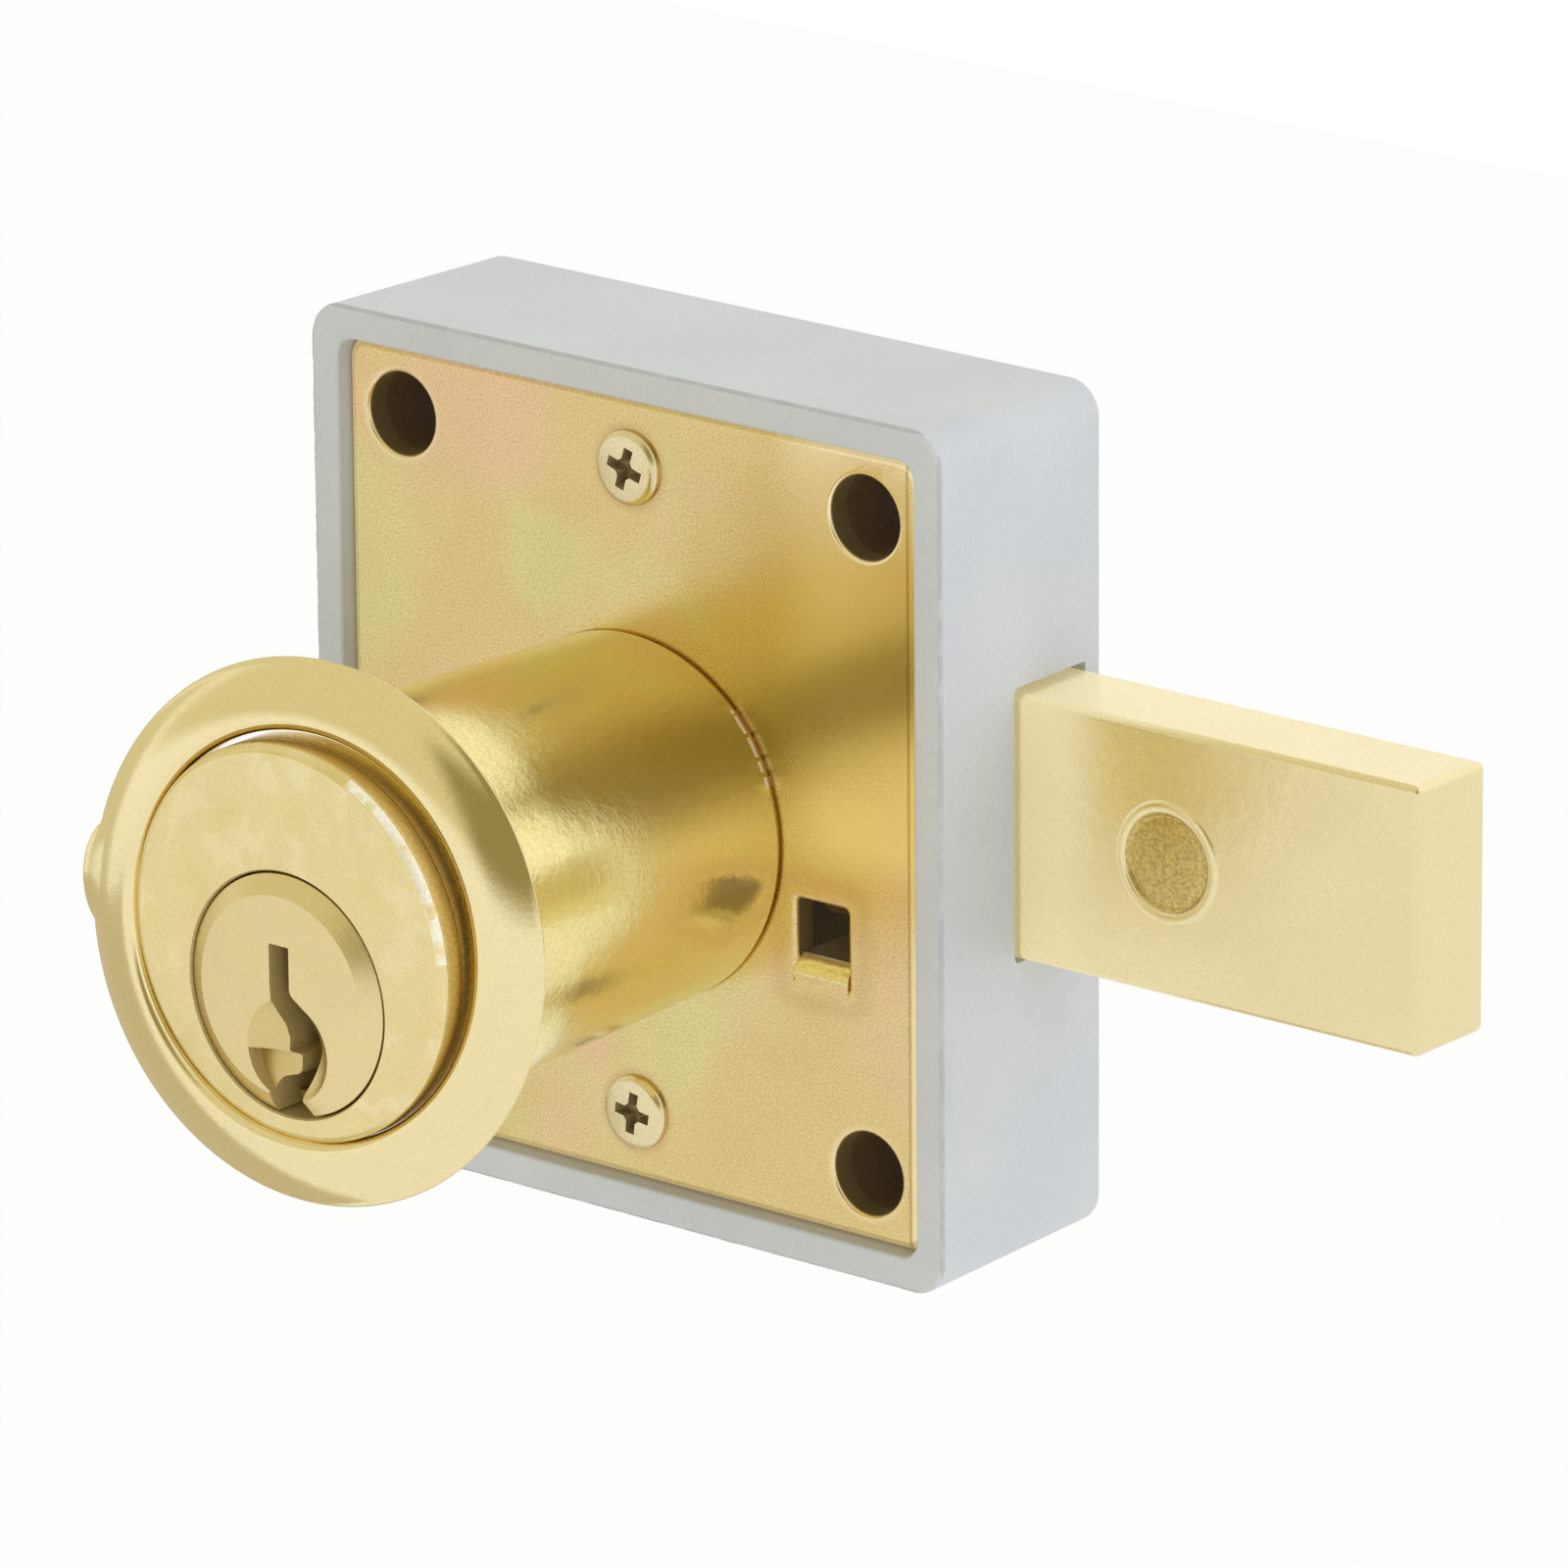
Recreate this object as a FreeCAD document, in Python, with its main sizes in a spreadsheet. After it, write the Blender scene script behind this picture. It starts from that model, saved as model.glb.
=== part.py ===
# Furniture lock: a surface-mounted dead bolt with a round pin-tumbler cylinder.
# Millimetres. +X is the way the bolt is thrown, -Y faces the key, +Z is up.
# The origin is the centre of the four fixing holes on the rim plane that lies on the door.
import FreeCAD
import Part
import Sketcher
import math
import os
import re

doc = FreeCAD.newDocument("FurnitureLock")
sheet = doc.addObject("Spreadsheet::Sheet", "Sizes")

sizes = {
    # die-cast case
    "caseWidth": 44.8,
    "caseHeight": 49.2,
    "caseDepth": 14.5,
    "caseDraft": 1.2,
    "caseCorner": 2.1,
    "caseWall": 1.9,
    "caseBack": 1.5,
    "ledgeWidth": 0.8,
    "rimSoftness": 0.35,
    "backSoftness": 0.45,
    # front plate
    "plateRecess": 0.8,
    "plateThickness": 1.5,
    "plateGap": 0.15,
    "plateCorner": 1.0,
    "plateEdge": 0.4,
    # fixing holes, through posts of the case
    "fixingSpacingX": 33.0,
    "fixingSpacingZ": 37.5,
    "fixingHole": 4.8,
    "fixingPost": 8.0,
    "fixingSink": 8.6,
    # plate screws
    "screwSpacing": 37.3,
    "bossDiameter": 4.6,
    "screwShank": 2.4,
    "screwHead": 4.3,
    "screwHeadHeight": 0.75,
    "screwRound": 0.45,
    "screwLength": 8.0,
    "crossSpan": 2.5,
    "crossSlot": 0.62,
    "crossDepth": 0.5,
    "crossTwist": 17.0,
    "threadClearance": 0.03,
    "threadEnd": 0.5,
    # window and guide tongue of the plate
    "windowX": 13.33,
    "windowTop": -3.8,
    "windowWidth": 3.65,
    "windowHeight": 3.3,
    "tongueThickness": 1.2,
    "tongueSide": 0.12,
    "tongueReach": 8.4,
    "tongueRoot": 0.2,
    # cylinder
    "barrelDrop": 1.3,
    "barrelDiameter": 22.2,
    "barrelLength": 27.95,
    "barrelChamfer": 0.35,
    "flangeThickness": 1.4,
    "sleeveBore": 19.9,
    "sleeveFoot": 21.0,
    "sleeveLand": 7.15,
    "noseRelief": 0.25,
    "noseSetback": 0.2,
    "stakeDiameter": 2.3,
    "stakeDepth": 0.4,
    "stakeAngle": -33.0,
    "stakeSetback": 3.3,
    "fitClearance": 0.03,
    "cutOver": 1.0,
    "spigotDiameter": 16.4,
    "nutWall": 2.5,
    "nutThickness": 1.4,
    "nutSlot": 2.0,
    # plug
    "plugOffset": 2.8,
    "plugHead": 13.56,
    "plugHeadDepth": 2.0,
    "plugDiameter": 12.2,
    "plugLength": 25.0,
    "plugProud": 0.15,
    "plugChamfer": 1.2,
    "plugChamferDepth": 0.6,
    "tailDiameter": 7.2,
    "runningClearance": 0.05,
    # keyway
    "keywayWidth": 1.3,
    "keywayTop": 2.5,
    "keywayPocket": 5.4,
    "keywayPocketDrop": 3.3,
    "keywayPocketDepth": 1.1,
    "keywayEnd": 3.0,
    # pin chambers
    "chamberCount": 5,
    "chamberFirst": 4.9,
    "chamberPitch": 3.9,
    "pinDiameter": 2.8,
    "pinSeatHeight": 0.4,
    "pinTip": 0.9,
    "pinTipHeight": 0.8,
    "pinBreak": 0.2,
    "driverLength": 3.0,
    "driverGap": 0.03,
    "springGap": 0.03,
    "springWire": 0.3,
    "springCoil": 1.9,
    "springTurns": 4,
    # tail arm that throws the bolt
    "armLength": 18.0,
    "armHub": 10.0,
    "armRoot": 9.2,
    "armEnd": 4.2,
    "armThickness": 1.6,
    "armGap": 0.3,
    "crankPin": 2.6,
    "tailSquare": 4.6,
    "tailScrewHead": 5.2,
    "tailScrewThread": 2.6,
    "tailScrewHeight": 0.8,
    "tailScrewLength": 5.0,
    "tailScrewSlot": 0.7,
    # bolt
    "boltThrow": 27.0,
    "boltThickness": 6.0,
    "boltHeight": 15.2,
    "boltRise": 0.85,
    "boltSoftness": 0.55,
    "boltGap": 0.2,
    "boltSideGap": 0.25,
    "boltStop": 0.2,
    "lugTop": 14.4,
    "lugHeel": 5.0,
    "forkClearance": 0.15,
    "forkDepth": 0.4,
    "guideRib": 1.5,
    "guideLength": 26.0,
    "markSetout": 10.1,
    "markDiameter": 7.1,
    "markFloor": 5.3,
    "markRaise": 0.12,
    "markDepth": 0.3,
    # ring on the barrel, a little aslant as it hangs in the photo
    "ringDiameter": 30.25,
    "ringBore": 23.3,
    "ringSetout": 25.7,
    "ringLift": 0.1,
    "ringTilt": 6.25,
    "ringTiltAxis": 131.0,
    "ringLip": 1.05,
    "ringRise": 1.55,
    "ringStep": 0.15,
    "ringEdge": 0.35,
    "ringBreak": 0.3,
    "ringRound": 0.4,
    "ringShell": 0.8,
    "nubHeight": 0.75,
    "nubWidth": 3.6,
    "nubAngle": 177.0,
}
pinLengths = [4.1, 5.3, 4.6, 5.8, 4.4]

for row, (alias, number) in enumerate(sizes.items(), start=1):
    sheet.set(f"A{row}", alias)
    sheet.set(f"B{row}", str(number))
    sheet.setAlias(f"B{row}", alias)
for index, number in enumerate(pinLengths, start=1):
    row = len(sizes) + index
    sheet.set(f"A{row}", f"keyPinLength{index}")
    sheet.set(f"B{row}", str(number))
    sheet.setAlias(f"B{row}", f"keyPinLength{index}")
doc.recompute()

# Lengths that several pieces share, written from the driving sizes.
derived = {
    "plateBack": "plateRecess + plateThickness",
    "openingWidth": "caseWidth - 2 * caseWall",
    "openingHeight": "caseHeight - 2 * caseWall",
    "cavityWidth": "openingWidth - 2 * ledgeWidth",
    "cavityHeight": "openingHeight - 2 * ledgeWidth",
    "cavityBack": "caseDepth - caseBack",
    "plugZ": "-barrelDrop - plugOffset",
    "faceY": "-barrelLength",
    "flangeBack": "flangeThickness - barrelLength",
    "plugEnd": "plugLength - barrelLength",
    "shearZ": "plugZ + plugDiameter / 2",
    "chamberTop": "sqrt((sleeveBore / 2 - fitClearance) ^ 2 - (pinDiameter / 2) ^ 2) - barrelDrop",
    "chamberDiameter": "pinDiameter + 2 * runningClearance",
    "nutDiameter": "spigotDiameter + 2 * nutWall",
    "nutBack": "plateBack + nutThickness",
    "armFront": "nutBack + armGap",
    "armBack": "armFront + armThickness",
    "boltBack": "cavityBack - boltGap",
    "boltFront": "boltBack - boltThickness",
    "boltLow": "boltRise - boltHeight / 2",
    "boltHigh": "boltRise + boltHeight / 2",
    "boltEnd": "caseWidth / 2 + boltThrow",
    "crankX": "boltThrow / 2",
    "armSwing": "asin(crankX / armLength)",
    "crankZ": "plugZ + sqrt(armLength ^ 2 - crankX ^ 2)",
    "forkFloor": "crankZ - crankPin / 2 - forkDepth",
    "pinCrown": "plugDiameter / 2 - sqrt((plugDiameter / 2) ^ 2 - (pinDiameter / 2) ^ 2)",
    "heelX": "crankX - lugHeel",
    "lugRight": "cavityWidth / 2 - boltStop",
    "tongueTop": "windowTop - windowHeight",
    "markX": "caseWidth / 2 + markSetout",
    "ringReach": "ringSetout - ringDiameter / 2 * sin(ringTilt * 1deg)",
    "landFront": "noseSetback - ringReach",
    "landBack": "landFront + sleeveLand",
    "lipOuter": "ringBore / 2 + ringLip",
    "shellBack": "ringStep + ringShell - ringRise",
    "nubReach": "ringDiameter / 2 + nubHeight - nubWidth / 2",
    "crankTurn": "acos(crankX / armLength / asin(crankX / armLength) * 180deg / pi)",
    "crankSlip": "armLength * sin(crankTurn) - crankX * crankTurn / asin(crankX / armLength)",
    "forkWidth": "crankPin + 2 * crankSlip + 2 * forkClearance",
}
aliases = set(sizes) | {f"keyPinLength{i}" for i in range(1, len(pinLengths) + 1)}


def bound(text):
    """An expression on the sheet for a formula written with the names above."""
    while any(word in derived for word in re.findall(r"[A-Za-z]\w*", text)):
        text = re.sub(
            r"[A-Za-z]\w*",
            lambda found: f"({derived[found[0]]})" if found[0] in derived else found[0],
            text,
        )
    return re.sub(
        r"[A-Za-z]\w*", lambda found: f"Sizes.{found[0]}" if found[0] in aliases else found[0], text
    )


def value(text):
    """The number that a formula has now."""
    return float(sheet.evalExpression(bound(str(text)) + " * 1"))


def link(thing, prop, text):
    thing.setExpression(prop, bound(str(text)))


def body(label, x="0", y="0", z="0"):
    made = doc.addObject("PartDesign::Body", label)
    made.Label = label
    for axis, text in zip("xyz", (x, y, z)):
        link(made, f".Placement.Base.{axis}", text)
    return made


def sketch(owner, name, plane="XZ_Plane", offset="0"):
    """A sketch on an origin plane of its body; offset runs along that plane's normal."""
    made = owner.newObject("Sketcher::SketchObject", name)
    planes = {feature.Role: feature for feature in owner.Origin.OriginFeatures}
    made.AttachmentSupport = [(planes[plane], "")]
    made.MapMode = "FlatFace"
    link(made, ".AttachmentOffset.Base.z", offset)
    return made


def pin_point(made, geometry, end, x, y):
    """Holds one point of a sketch at a place given by two formulas."""
    for kind, text in (("DistanceX", x), ("DistanceY", y)):
        index = made.addConstraint(Sketcher.Constraint(kind, -1, 1, geometry, end, value(text)))
        link(made, f"Constraints[{index}]", text)


def outline(made, points):
    """A closed outline of straight sides through points that are pairs of formulas."""
    corners = [FreeCAD.Vector(value(x), value(y), 0) for x, y in points]
    first = made.GeometryCount
    count = len(points)
    for i in range(count):
        made.addGeometry(Part.LineSegment(corners[i], corners[(i + 1) % count]))
    for i, (x, y) in enumerate(points):
        pin_point(made, first + i, 1, x, y)
        made.addConstraint(Sketcher.Constraint("Coincident", first + i, 2, first + (i + 1) % count, 1))


def rectangle(made, width, height, x="0", y="0"):
    left, right = f"{x} - ({width}) / 2", f"{x} + ({width}) / 2"
    low, high = f"{y} - ({height}) / 2", f"{y} + ({height}) / 2"
    outline(made, [(left, low), (right, low), (right, high), (left, high)])


def circle(made, diameter, x="0", y="0"):
    centre = FreeCAD.Vector(value(x), value(y), 0)
    radius = f"({diameter}) / 2"
    index = made.addGeometry(Part.Circle(centre, FreeCAD.Vector(0, 0, 1), value(radius)))
    bind = made.addConstraint(Sketcher.Constraint("Radius", index, value(radius)))
    link(made, f"Constraints[{bind}]", radius)
    pin_point(made, index, 3, x, y)


def feature(owner, kind, name, profile, length, back=False, **more):
    """A pad or pocket of a sketch; back turns it round. It must change the volume."""
    doc.recompute()
    before = owner.Shape.Volume if owner.Tip and not owner.Tip.Shape.isNull() else 0.0
    made = owner.newObject(f"PartDesign::{kind}", name)
    made.Profile = profile
    link(made, "Length", length)
    made.Reversed = back
    for key, setting in more.items():
        setattr(made, key, setting)
    doc.recompute()
    if abs(owner.Shape.Volume - before) < 1e-6:
        raise RuntimeError(f"{name} changes nothing")
    return made


def pad(owner, name, profile, length, back=False, **more):
    return feature(owner, "Pad", name, profile, length, back, **more)


def pocket(owner, name, profile, length, back=False, **more):
    return feature(owner, "Pocket", name, profile, length, back, **more)


def turned(owner, name, points, upright=False):
    """A profile turned about Y, from (y, radius) points, or about Z, from (radius, z) points."""
    profile = sketch(owner, name + "Profile", "XZ_Plane" if upright else "YZ_Plane")
    outline(profile, points)
    doc.recompute()
    made = owner.newObject("PartDesign::Revolution", name)
    made.Profile = profile
    made.ReferenceAxis = (profile, ["V_Axis" if upright else "H_Axis"])
    made.Angle = 360.0
    doc.recompute()
    return made


def soften(owner, name, radius, chosen, kind="Fillet"):
    """Rounds or chamfers the edges of a body that the test picks."""
    base = owner.Tip
    names = [f"Edge{i}" for i, edge in enumerate(base.Shape.Edges, start=1) if chosen(edge)]
    if not names:
        raise RuntimeError(f"{name} finds no edge")
    made = owner.newObject(f"PartDesign::{kind}", name)
    made.Base = (base, names)
    link(made, "Radius" if kind == "Fillet" else "Size", radius)
    doc.recompute()
    return made


def middle(edge):
    return edge.valueAt((edge.FirstParameter + edge.LastParameter) / 2)


def runs_along(edge, axis):
    """True for an edge whose ends lie apart mainly along one axis."""
    span = edge.valueAt(edge.LastParameter) - edge.valueAt(edge.FirstParameter)
    return span.Length > 1e-6 and abs(span.getAngle(axis) % math.pi - math.pi / 2) > 1.2


def ring_edge(edge, radius, y):
    """True for a full circle of this radius at this depth in the owner's own frame."""
    return (
        isinstance(edge.Curve, Part.Circle)
        and abs(edge.Curve.Radius - radius) < 0.01
        and abs(edge.Curve.Center.y - y) < 0.01
    )


alongY = FreeCAD.Vector(0, 1, 0)
turnToY = FreeCAD.Rotation(FreeCAD.Vector(1, 0, 0), -90)
signs = [(-1, -1), (1, -1), (1, 1), (-1, 1)]


def places(spacingX, spacingZ):
    return [(f"{i} * {spacingX} / 2", f"{j} * {spacingZ} / 2") for i, j in signs]


def primitive(kind, label, x, y, z, turn=None, **spans):
    """A Part primitive at a place, with every span and coordinate bound to the sheet."""
    made = doc.addObject(f"Part::{kind}", label)
    for prop, text in spans.items():
        link(made, prop, text)
    if turn:
        made.Placement = FreeCAD.Placement(FreeCAD.Vector(), turn)
    for axis, text in zip("xyz", (x, y, z)):
        link(made, f".Placement.Base.{axis}", text)
    return made


def rod(label, diameter, length, x="0", y="0", z="0", turn=turnToY):
    """A round bar that starts at a place and runs along +Y unless another turn is given."""
    return primitive("Cylinder", label, x, y, z, turn, Radius=f"({diameter}) / 2", Height=length)


def cut(label, base, tools):
    """The base less its tools, as one boolean."""
    tool = tools[0]
    if len(tools) > 1:
        tool = doc.addObject("Part::MultiFuse", label + "Tools")
        tool.Shapes = tools
    made = doc.addObject("Part::Cut", label)
    made.Base = base
    made.Tool = tool
    made.Label = label
    return made


def join(label, shapes):
    made = doc.addObject("Part::MultiFuse", label)
    made.Shapes = shapes
    made.Label = label
    return made


def barrel_holes(tag, diameter, length, start):
    """One round upright tool for each pin, along the cylinder."""
    return [
        rod(f"{tag}{i + 1}", diameter, length, "0", f"faceY + chamberFirst + {i} * chamberPitch", start, None)
        for i in range(int(value("chamberCount")))
    ]


# Case: a shallow tray with a rim, four fixing posts, two screw bosses and a bolt opening.
def make_case():
    case = body("case_casting")
    outer = sketch(case, "caseOutline")
    rectangle(outer, "caseWidth", "caseHeight")
    pad(case, "caseBlock", outer, "caseDepth", back=True, TaperAngle=-value("caseDraft"))
    soften(case, "caseCorners", "caseCorner", lambda edge: runs_along(edge, alongY))
    depth = value("caseDepth")
    soften(case, "caseBackEdge", "backSoftness", lambda edge: abs(middle(edge).y - depth) < 0.01)
    soften(case, "caseRimEdge", "rimSoftness", lambda edge: abs(middle(edge).y) < 0.01)
    opening = sketch(case, "caseOpening")
    rectangle(opening, "openingWidth", "openingHeight")
    pocket(case, "caseRecess", opening, "plateBack")
    cavity = sketch(case, "caseCavity")
    rectangle(cavity, "cavityWidth", "cavityHeight")
    pocket(case, "caseHollow", cavity, "cavityBack")
    posts = sketch(case, "casePosts", offset="-cavityBack")
    for x, z in places("fixingSpacingX", "fixingSpacingZ"):
        circle(posts, "fixingPost", x, z)
    pad(case, "fixingPosts", posts, "cavityBack - plateBack")
    bosses = sketch(case, "caseBosses", offset="-cavityBack")
    for side in (-1, 1):
        circle(bosses, "bossDiameter", "0", f"{side} * screwSpacing / 2")
    pad(case, "screwBosses", bosses, "cavityBack - plateBack")
    rib = sketch(case, "caseRib", offset="-cavityBack")
    rectangle(rib, "guideLength", "guideRib", "(guideLength - cavityWidth) / 2",
              "boltLow - boltSideGap - guideRib / 2")
    pad(case, "boltRib", rib, "boltThickness")
    holes = sketch(case, "caseHoles")
    for x, z in places("fixingSpacingX", "fixingSpacingZ"):
        circle(holes, "fixingHole", x, z)
    pocket(case, "fixingHoles", holes, "caseDepth + cutOver")
    pilots = sketch(case, "casePilots")
    for side in (-1, 1):
        circle(pilots, "screwShank + 2 * threadClearance", "0", f"{side} * screwSpacing / 2")
    pocket(case, "pilotHoles", pilots, "plateRecess + screwLength + threadEnd")
    slot = sketch(case, "caseSlot", "YZ_Plane", "cavityWidth / 2 - cutOver / 2")
    rectangle(slot, "boltThickness + boltGap + boltSideGap", "boltHeight + 2 * boltSideGap",
              "(boltFront - boltSideGap + cavityBack) / 2", "boltRise")
    pocket(case, "boltOpening", slot, "caseWall + ledgeWidth + cutOver", back=True)
    sinks = [
        primitive("Cone", f"sink{index}", x, "caseDepth - (fixingSink - fixingHole) / 2", z, turnToY,
                  Radius1="fixingHole / 2", Radius2="fixingSink / 2", Height="(fixingSink - fixingHole) / 2")
        for index, (x, z) in enumerate(places("fixingSpacingX", "fixingSpacingZ"))
    ]
    return cut("case", case, sinks)


# Front plate: stamped sheet in the rim, with the tongue that guides the bolt from below.
def make_plate():
    plate = body("front_plate")
    sheetOutline = sketch(plate, "plateOutline", offset="-plateRecess")
    rectangle(sheetOutline, "openingWidth - 2 * plateGap", "openingHeight - 2 * plateGap")
    pad(plate, "plateBlank", sheetOutline, "plateThickness", back=True)
    soften(plate, "plateCorners", "plateCorner", lambda edge: runs_along(edge, alongY))
    front = value("plateRecess")
    soften(plate, "plateFrontEdge", "plateEdge", lambda edge: abs(middle(edge).y - front) < 0.01)
    holes = sketch(plate, "plateHoles", offset="-plateRecess")
    for x, z in places("fixingSpacingX", "fixingSpacingZ"):
        circle(holes, "fixingHole", x, z)
    for side in (-1, 1):
        circle(holes, "screwShank + 4 * threadClearance", "0", f"{side} * screwSpacing / 2")
    circle(holes, "spigotDiameter + 2 * fitClearance", "0", "-barrelDrop")
    rectangle(holes, "windowWidth", "windowHeight", "windowX", "windowTop - windowHeight / 2")
    pocket(plate, "plateOpenings", holes, "plateThickness")
    tongue = sketch(plate, "plateTongue", "YZ_Plane", "windowX")
    outline(tongue, [
        ("plateRecess", "tongueTop"),
        ("tongueReach", "tongueTop"),
        ("tongueReach", "tongueTop - tongueThickness"),
        ("plateBack - tongueRoot", "tongueTop - tongueThickness"),
        ("plateBack - tongueRoot", "tongueTop - tongueThickness - tongueRoot"),
        ("plateRecess", "tongueTop - tongueThickness - tongueRoot"),
    ])
    pad(plate, "guideTongue", tongue, "windowWidth - 2 * tongueSide", Midplane=True)
    top = value("tongueTop")
    soften(plate, "tongueBend", "tongueThickness", lambda edge: runs_along(edge, FreeCAD.Vector(1, 0, 0))
           and abs(middle(edge).z - top) < 0.01 and abs(middle(edge).y - front) < 0.01)
    return plate


# Screws that hold the plate: low pan heads with a cross recess.
def make_screws():
    screws = []
    for place, side, twist in (("Top", "1", "-crossTwist"), ("Low", "-1", "0")):
        screw = body(f"screw{place}", y="plateRecess", z=f"{side} * screwSpacing / 2")
        turned(screw, f"screwTurning{place}", [
            ("-screwHeadHeight", "0"),
            ("-screwHeadHeight", "screwHead / 2"),
            ("0", "screwHead / 2"),
            ("0", "screwShank / 2"),
            ("screwLength", "screwShank / 2"),
            ("screwLength", "0"),
        ])
        head, front = value("screwHead / 2"), value("-screwHeadHeight")
        soften(screw, f"screwDome{place}", "screwRound", lambda edge: ring_edge(edge, head, front))
        for name, width, height in (("Bar", "crossSpan", "crossSlot"), ("Post", "crossSlot", "crossSpan")):
            recess = sketch(screw, f"cross{name}Outline{place}", offset="screwHeadHeight")
            link(recess, ".AttachmentOffset.Rotation.Angle", twist)
            rectangle(recess, width, height)
            pocket(screw, f"cross{name}{place}", recess, "crossDepth")
        screws.append(screw)
    group = doc.addObject("Part::Compound", "plate_screws")
    group.Links = screws
    return group


# Cylinder: a core with a flange at its face, inside a thin outer sleeve.
def make_core():
    core = body("core_blank", z="-barrelDrop")
    turned(core, "coreTurning", [
        ("faceY", "0"),
        ("faceY", "barrelDiameter / 2 - barrelChamfer"),
        ("faceY + barrelChamfer", "barrelDiameter / 2"),
        ("flangeBack", "barrelDiameter / 2"),
        ("flangeBack", "sleeveBore / 2 - fitClearance"),
        ("plateRecess", "sleeveBore / 2 - fitClearance"),
        ("plateRecess", "spigotDiameter / 2"),
        ("nutBack", "spigotDiameter / 2"),
        ("nutBack", "0"),
    ])
    bores = [
        rod(name, f"{diameter} + 2 * runningClearance", length, "0", start, "plugZ")
        for name, diameter, start, length in (
            ("plugBore", "plugDiameter", "faceY - cutOver", "plugEnd - faceY + cutOver + runningClearance"),
            ("plugSeat", "plugHead", "faceY - cutOver", "plugHeadDepth + cutOver + runningClearance"),
            ("tailBore", "tailDiameter", "plugEnd - cutOver", "nutBack - plugEnd + 2 * cutOver"),
        )
    ]
    chambers = barrel_holes("chamber", "chamberDiameter", "chamberTop - shearZ + 2 * cutOver",
                            "shearZ - 2 * cutOver")
    return cut("cylinder_core", core, bores + chambers)


def make_sleeve():
    sleeve = body("sleeve_turning", z="-barrelDrop")
    turned(sleeve, "sleeveTurning", [
        ("flangeBack", "sleeveBore / 2"),
        ("flangeBack", "barrelDiameter / 2 - noseRelief"),
        ("landFront", "barrelDiameter / 2 - noseRelief"),
        ("landFront", "barrelDiameter / 2"),
        ("landBack", "barrelDiameter / 2"),
        ("plateRecess", "sleeveFoot / 2"),
        ("plateRecess", "sleeveBore / 2"),
    ])
    reach = "(sleeveFoot / 2 - stakeDepth)"
    stake = rod("stakeTool", "stakeDiameter", "stakeDepth + cutOver", f"{reach} * cos(stakeAngle * 1deg)",
                "plateRecess - stakeSetback", f"{reach} * sin(stakeAngle * 1deg) - barrelDrop",
                FreeCAD.Rotation(alongY, 90 - value("stakeAngle")))
    return cut("barrel_sleeve", sleeve, [stake])


def make_nut():
    nut = body("barrel_nut", z="-barrelDrop")
    turned(nut, "nutTurning", [
        ("plateBack", "spigotDiameter / 2 + fitClearance"),
        ("plateBack", "nutDiameter / 2"),
        ("nutBack", "nutDiameter / 2"),
        ("nutBack", "spigotDiameter / 2 + fitClearance"),
    ])
    slots = sketch(nut, "nutSlots", offset="-plateBack")
    for side in (-1, 1):
        rectangle(slots, "nutSlot", "nutSlot", f"{side} * nutDiameter / 2", "0")
    pocket(nut, "spannerSlots", slots, "nutThickness")
    return nut


# Plug: turned, with a keyway that is open below, pin holes from above and a square tail.
keyway = [
    ("-keywayWidth", "keywayTop"),
    ("0", "keywayTop"),
    ("0", "-0.2"),
    ("1.4", "-1.3"),
    ("2.2", "-2.2"),
    ("2.1", "-3.0"),
    ("1.6", "-4.3"),
    ("1.1", "-5.6"),
    ("1.3", "-plugHead / 2 - 0.4"),
    ("-0.9", "-plugHead / 2 - 0.4"),
    ("-0.7", "-5.4"),
    ("-0.5", "-4.7"),
    ("0.2", "-4.5"),
    ("0.9", "-3.95"),
    ("0.9", "-3.1"),
    ("0", "-3.1"),
    ("-0.1", "-1.75"),
    ("-0.9", "-1.0"),
    ("-keywayWidth", "0.2"),
]


def make_plug():
    plug = body("plug_blank", z="plugZ")
    turned(plug, "plugTurning", [
        ("faceY - plugProud", "0"),
        ("faceY - plugProud", "plugHead / 2 - plugChamfer"),
        ("faceY - plugProud + plugChamferDepth", "plugHead / 2"),
        ("faceY + plugHeadDepth", "plugHead / 2"),
        ("faceY + plugHeadDepth", "plugDiameter / 2"),
        ("plugEnd", "plugDiameter / 2"),
        ("plugEnd", "tailDiameter / 2"),
        ("armFront", "tailDiameter / 2"),
        ("armFront", "0"),
    ])
    way = sketch(plug, "plugKeyway", offset="plugProud - faceY")
    outline(way, keyway)
    pocket(plug, "keywayCut", way, "plugLength - keywayEnd")
    bowl = sketch(plug, "plugBowl", offset="plugProud - faceY")
    circle(bowl, "keywayPocket", "-keywayWidth / 8", "-keywayPocketDrop")
    pocket(plug, "keywayBowl", bowl, "keywayPocketDepth")
    square = sketch(plug, "plugTail", offset="-armFront")
    link(square, ".AttachmentOffset.Rotation.Angle", "-armSwing")
    rectangle(square, "tailSquare", "tailSquare")
    pad(plug, "tailDrive", square, "armThickness", back=True)
    thread = rod("tailThread", "tailScrewThread + 2 * threadClearance", "tailScrewLength + threadEnd",
                 "0", "armBack - tailScrewLength - threadEnd", "plugZ")
    pinHoles = barrel_holes("pinHole", "chamberDiameter", "plugDiameter", "plugZ - pinSeatHeight")
    return cut("plug", plug, pinHoles + [thread])


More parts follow.
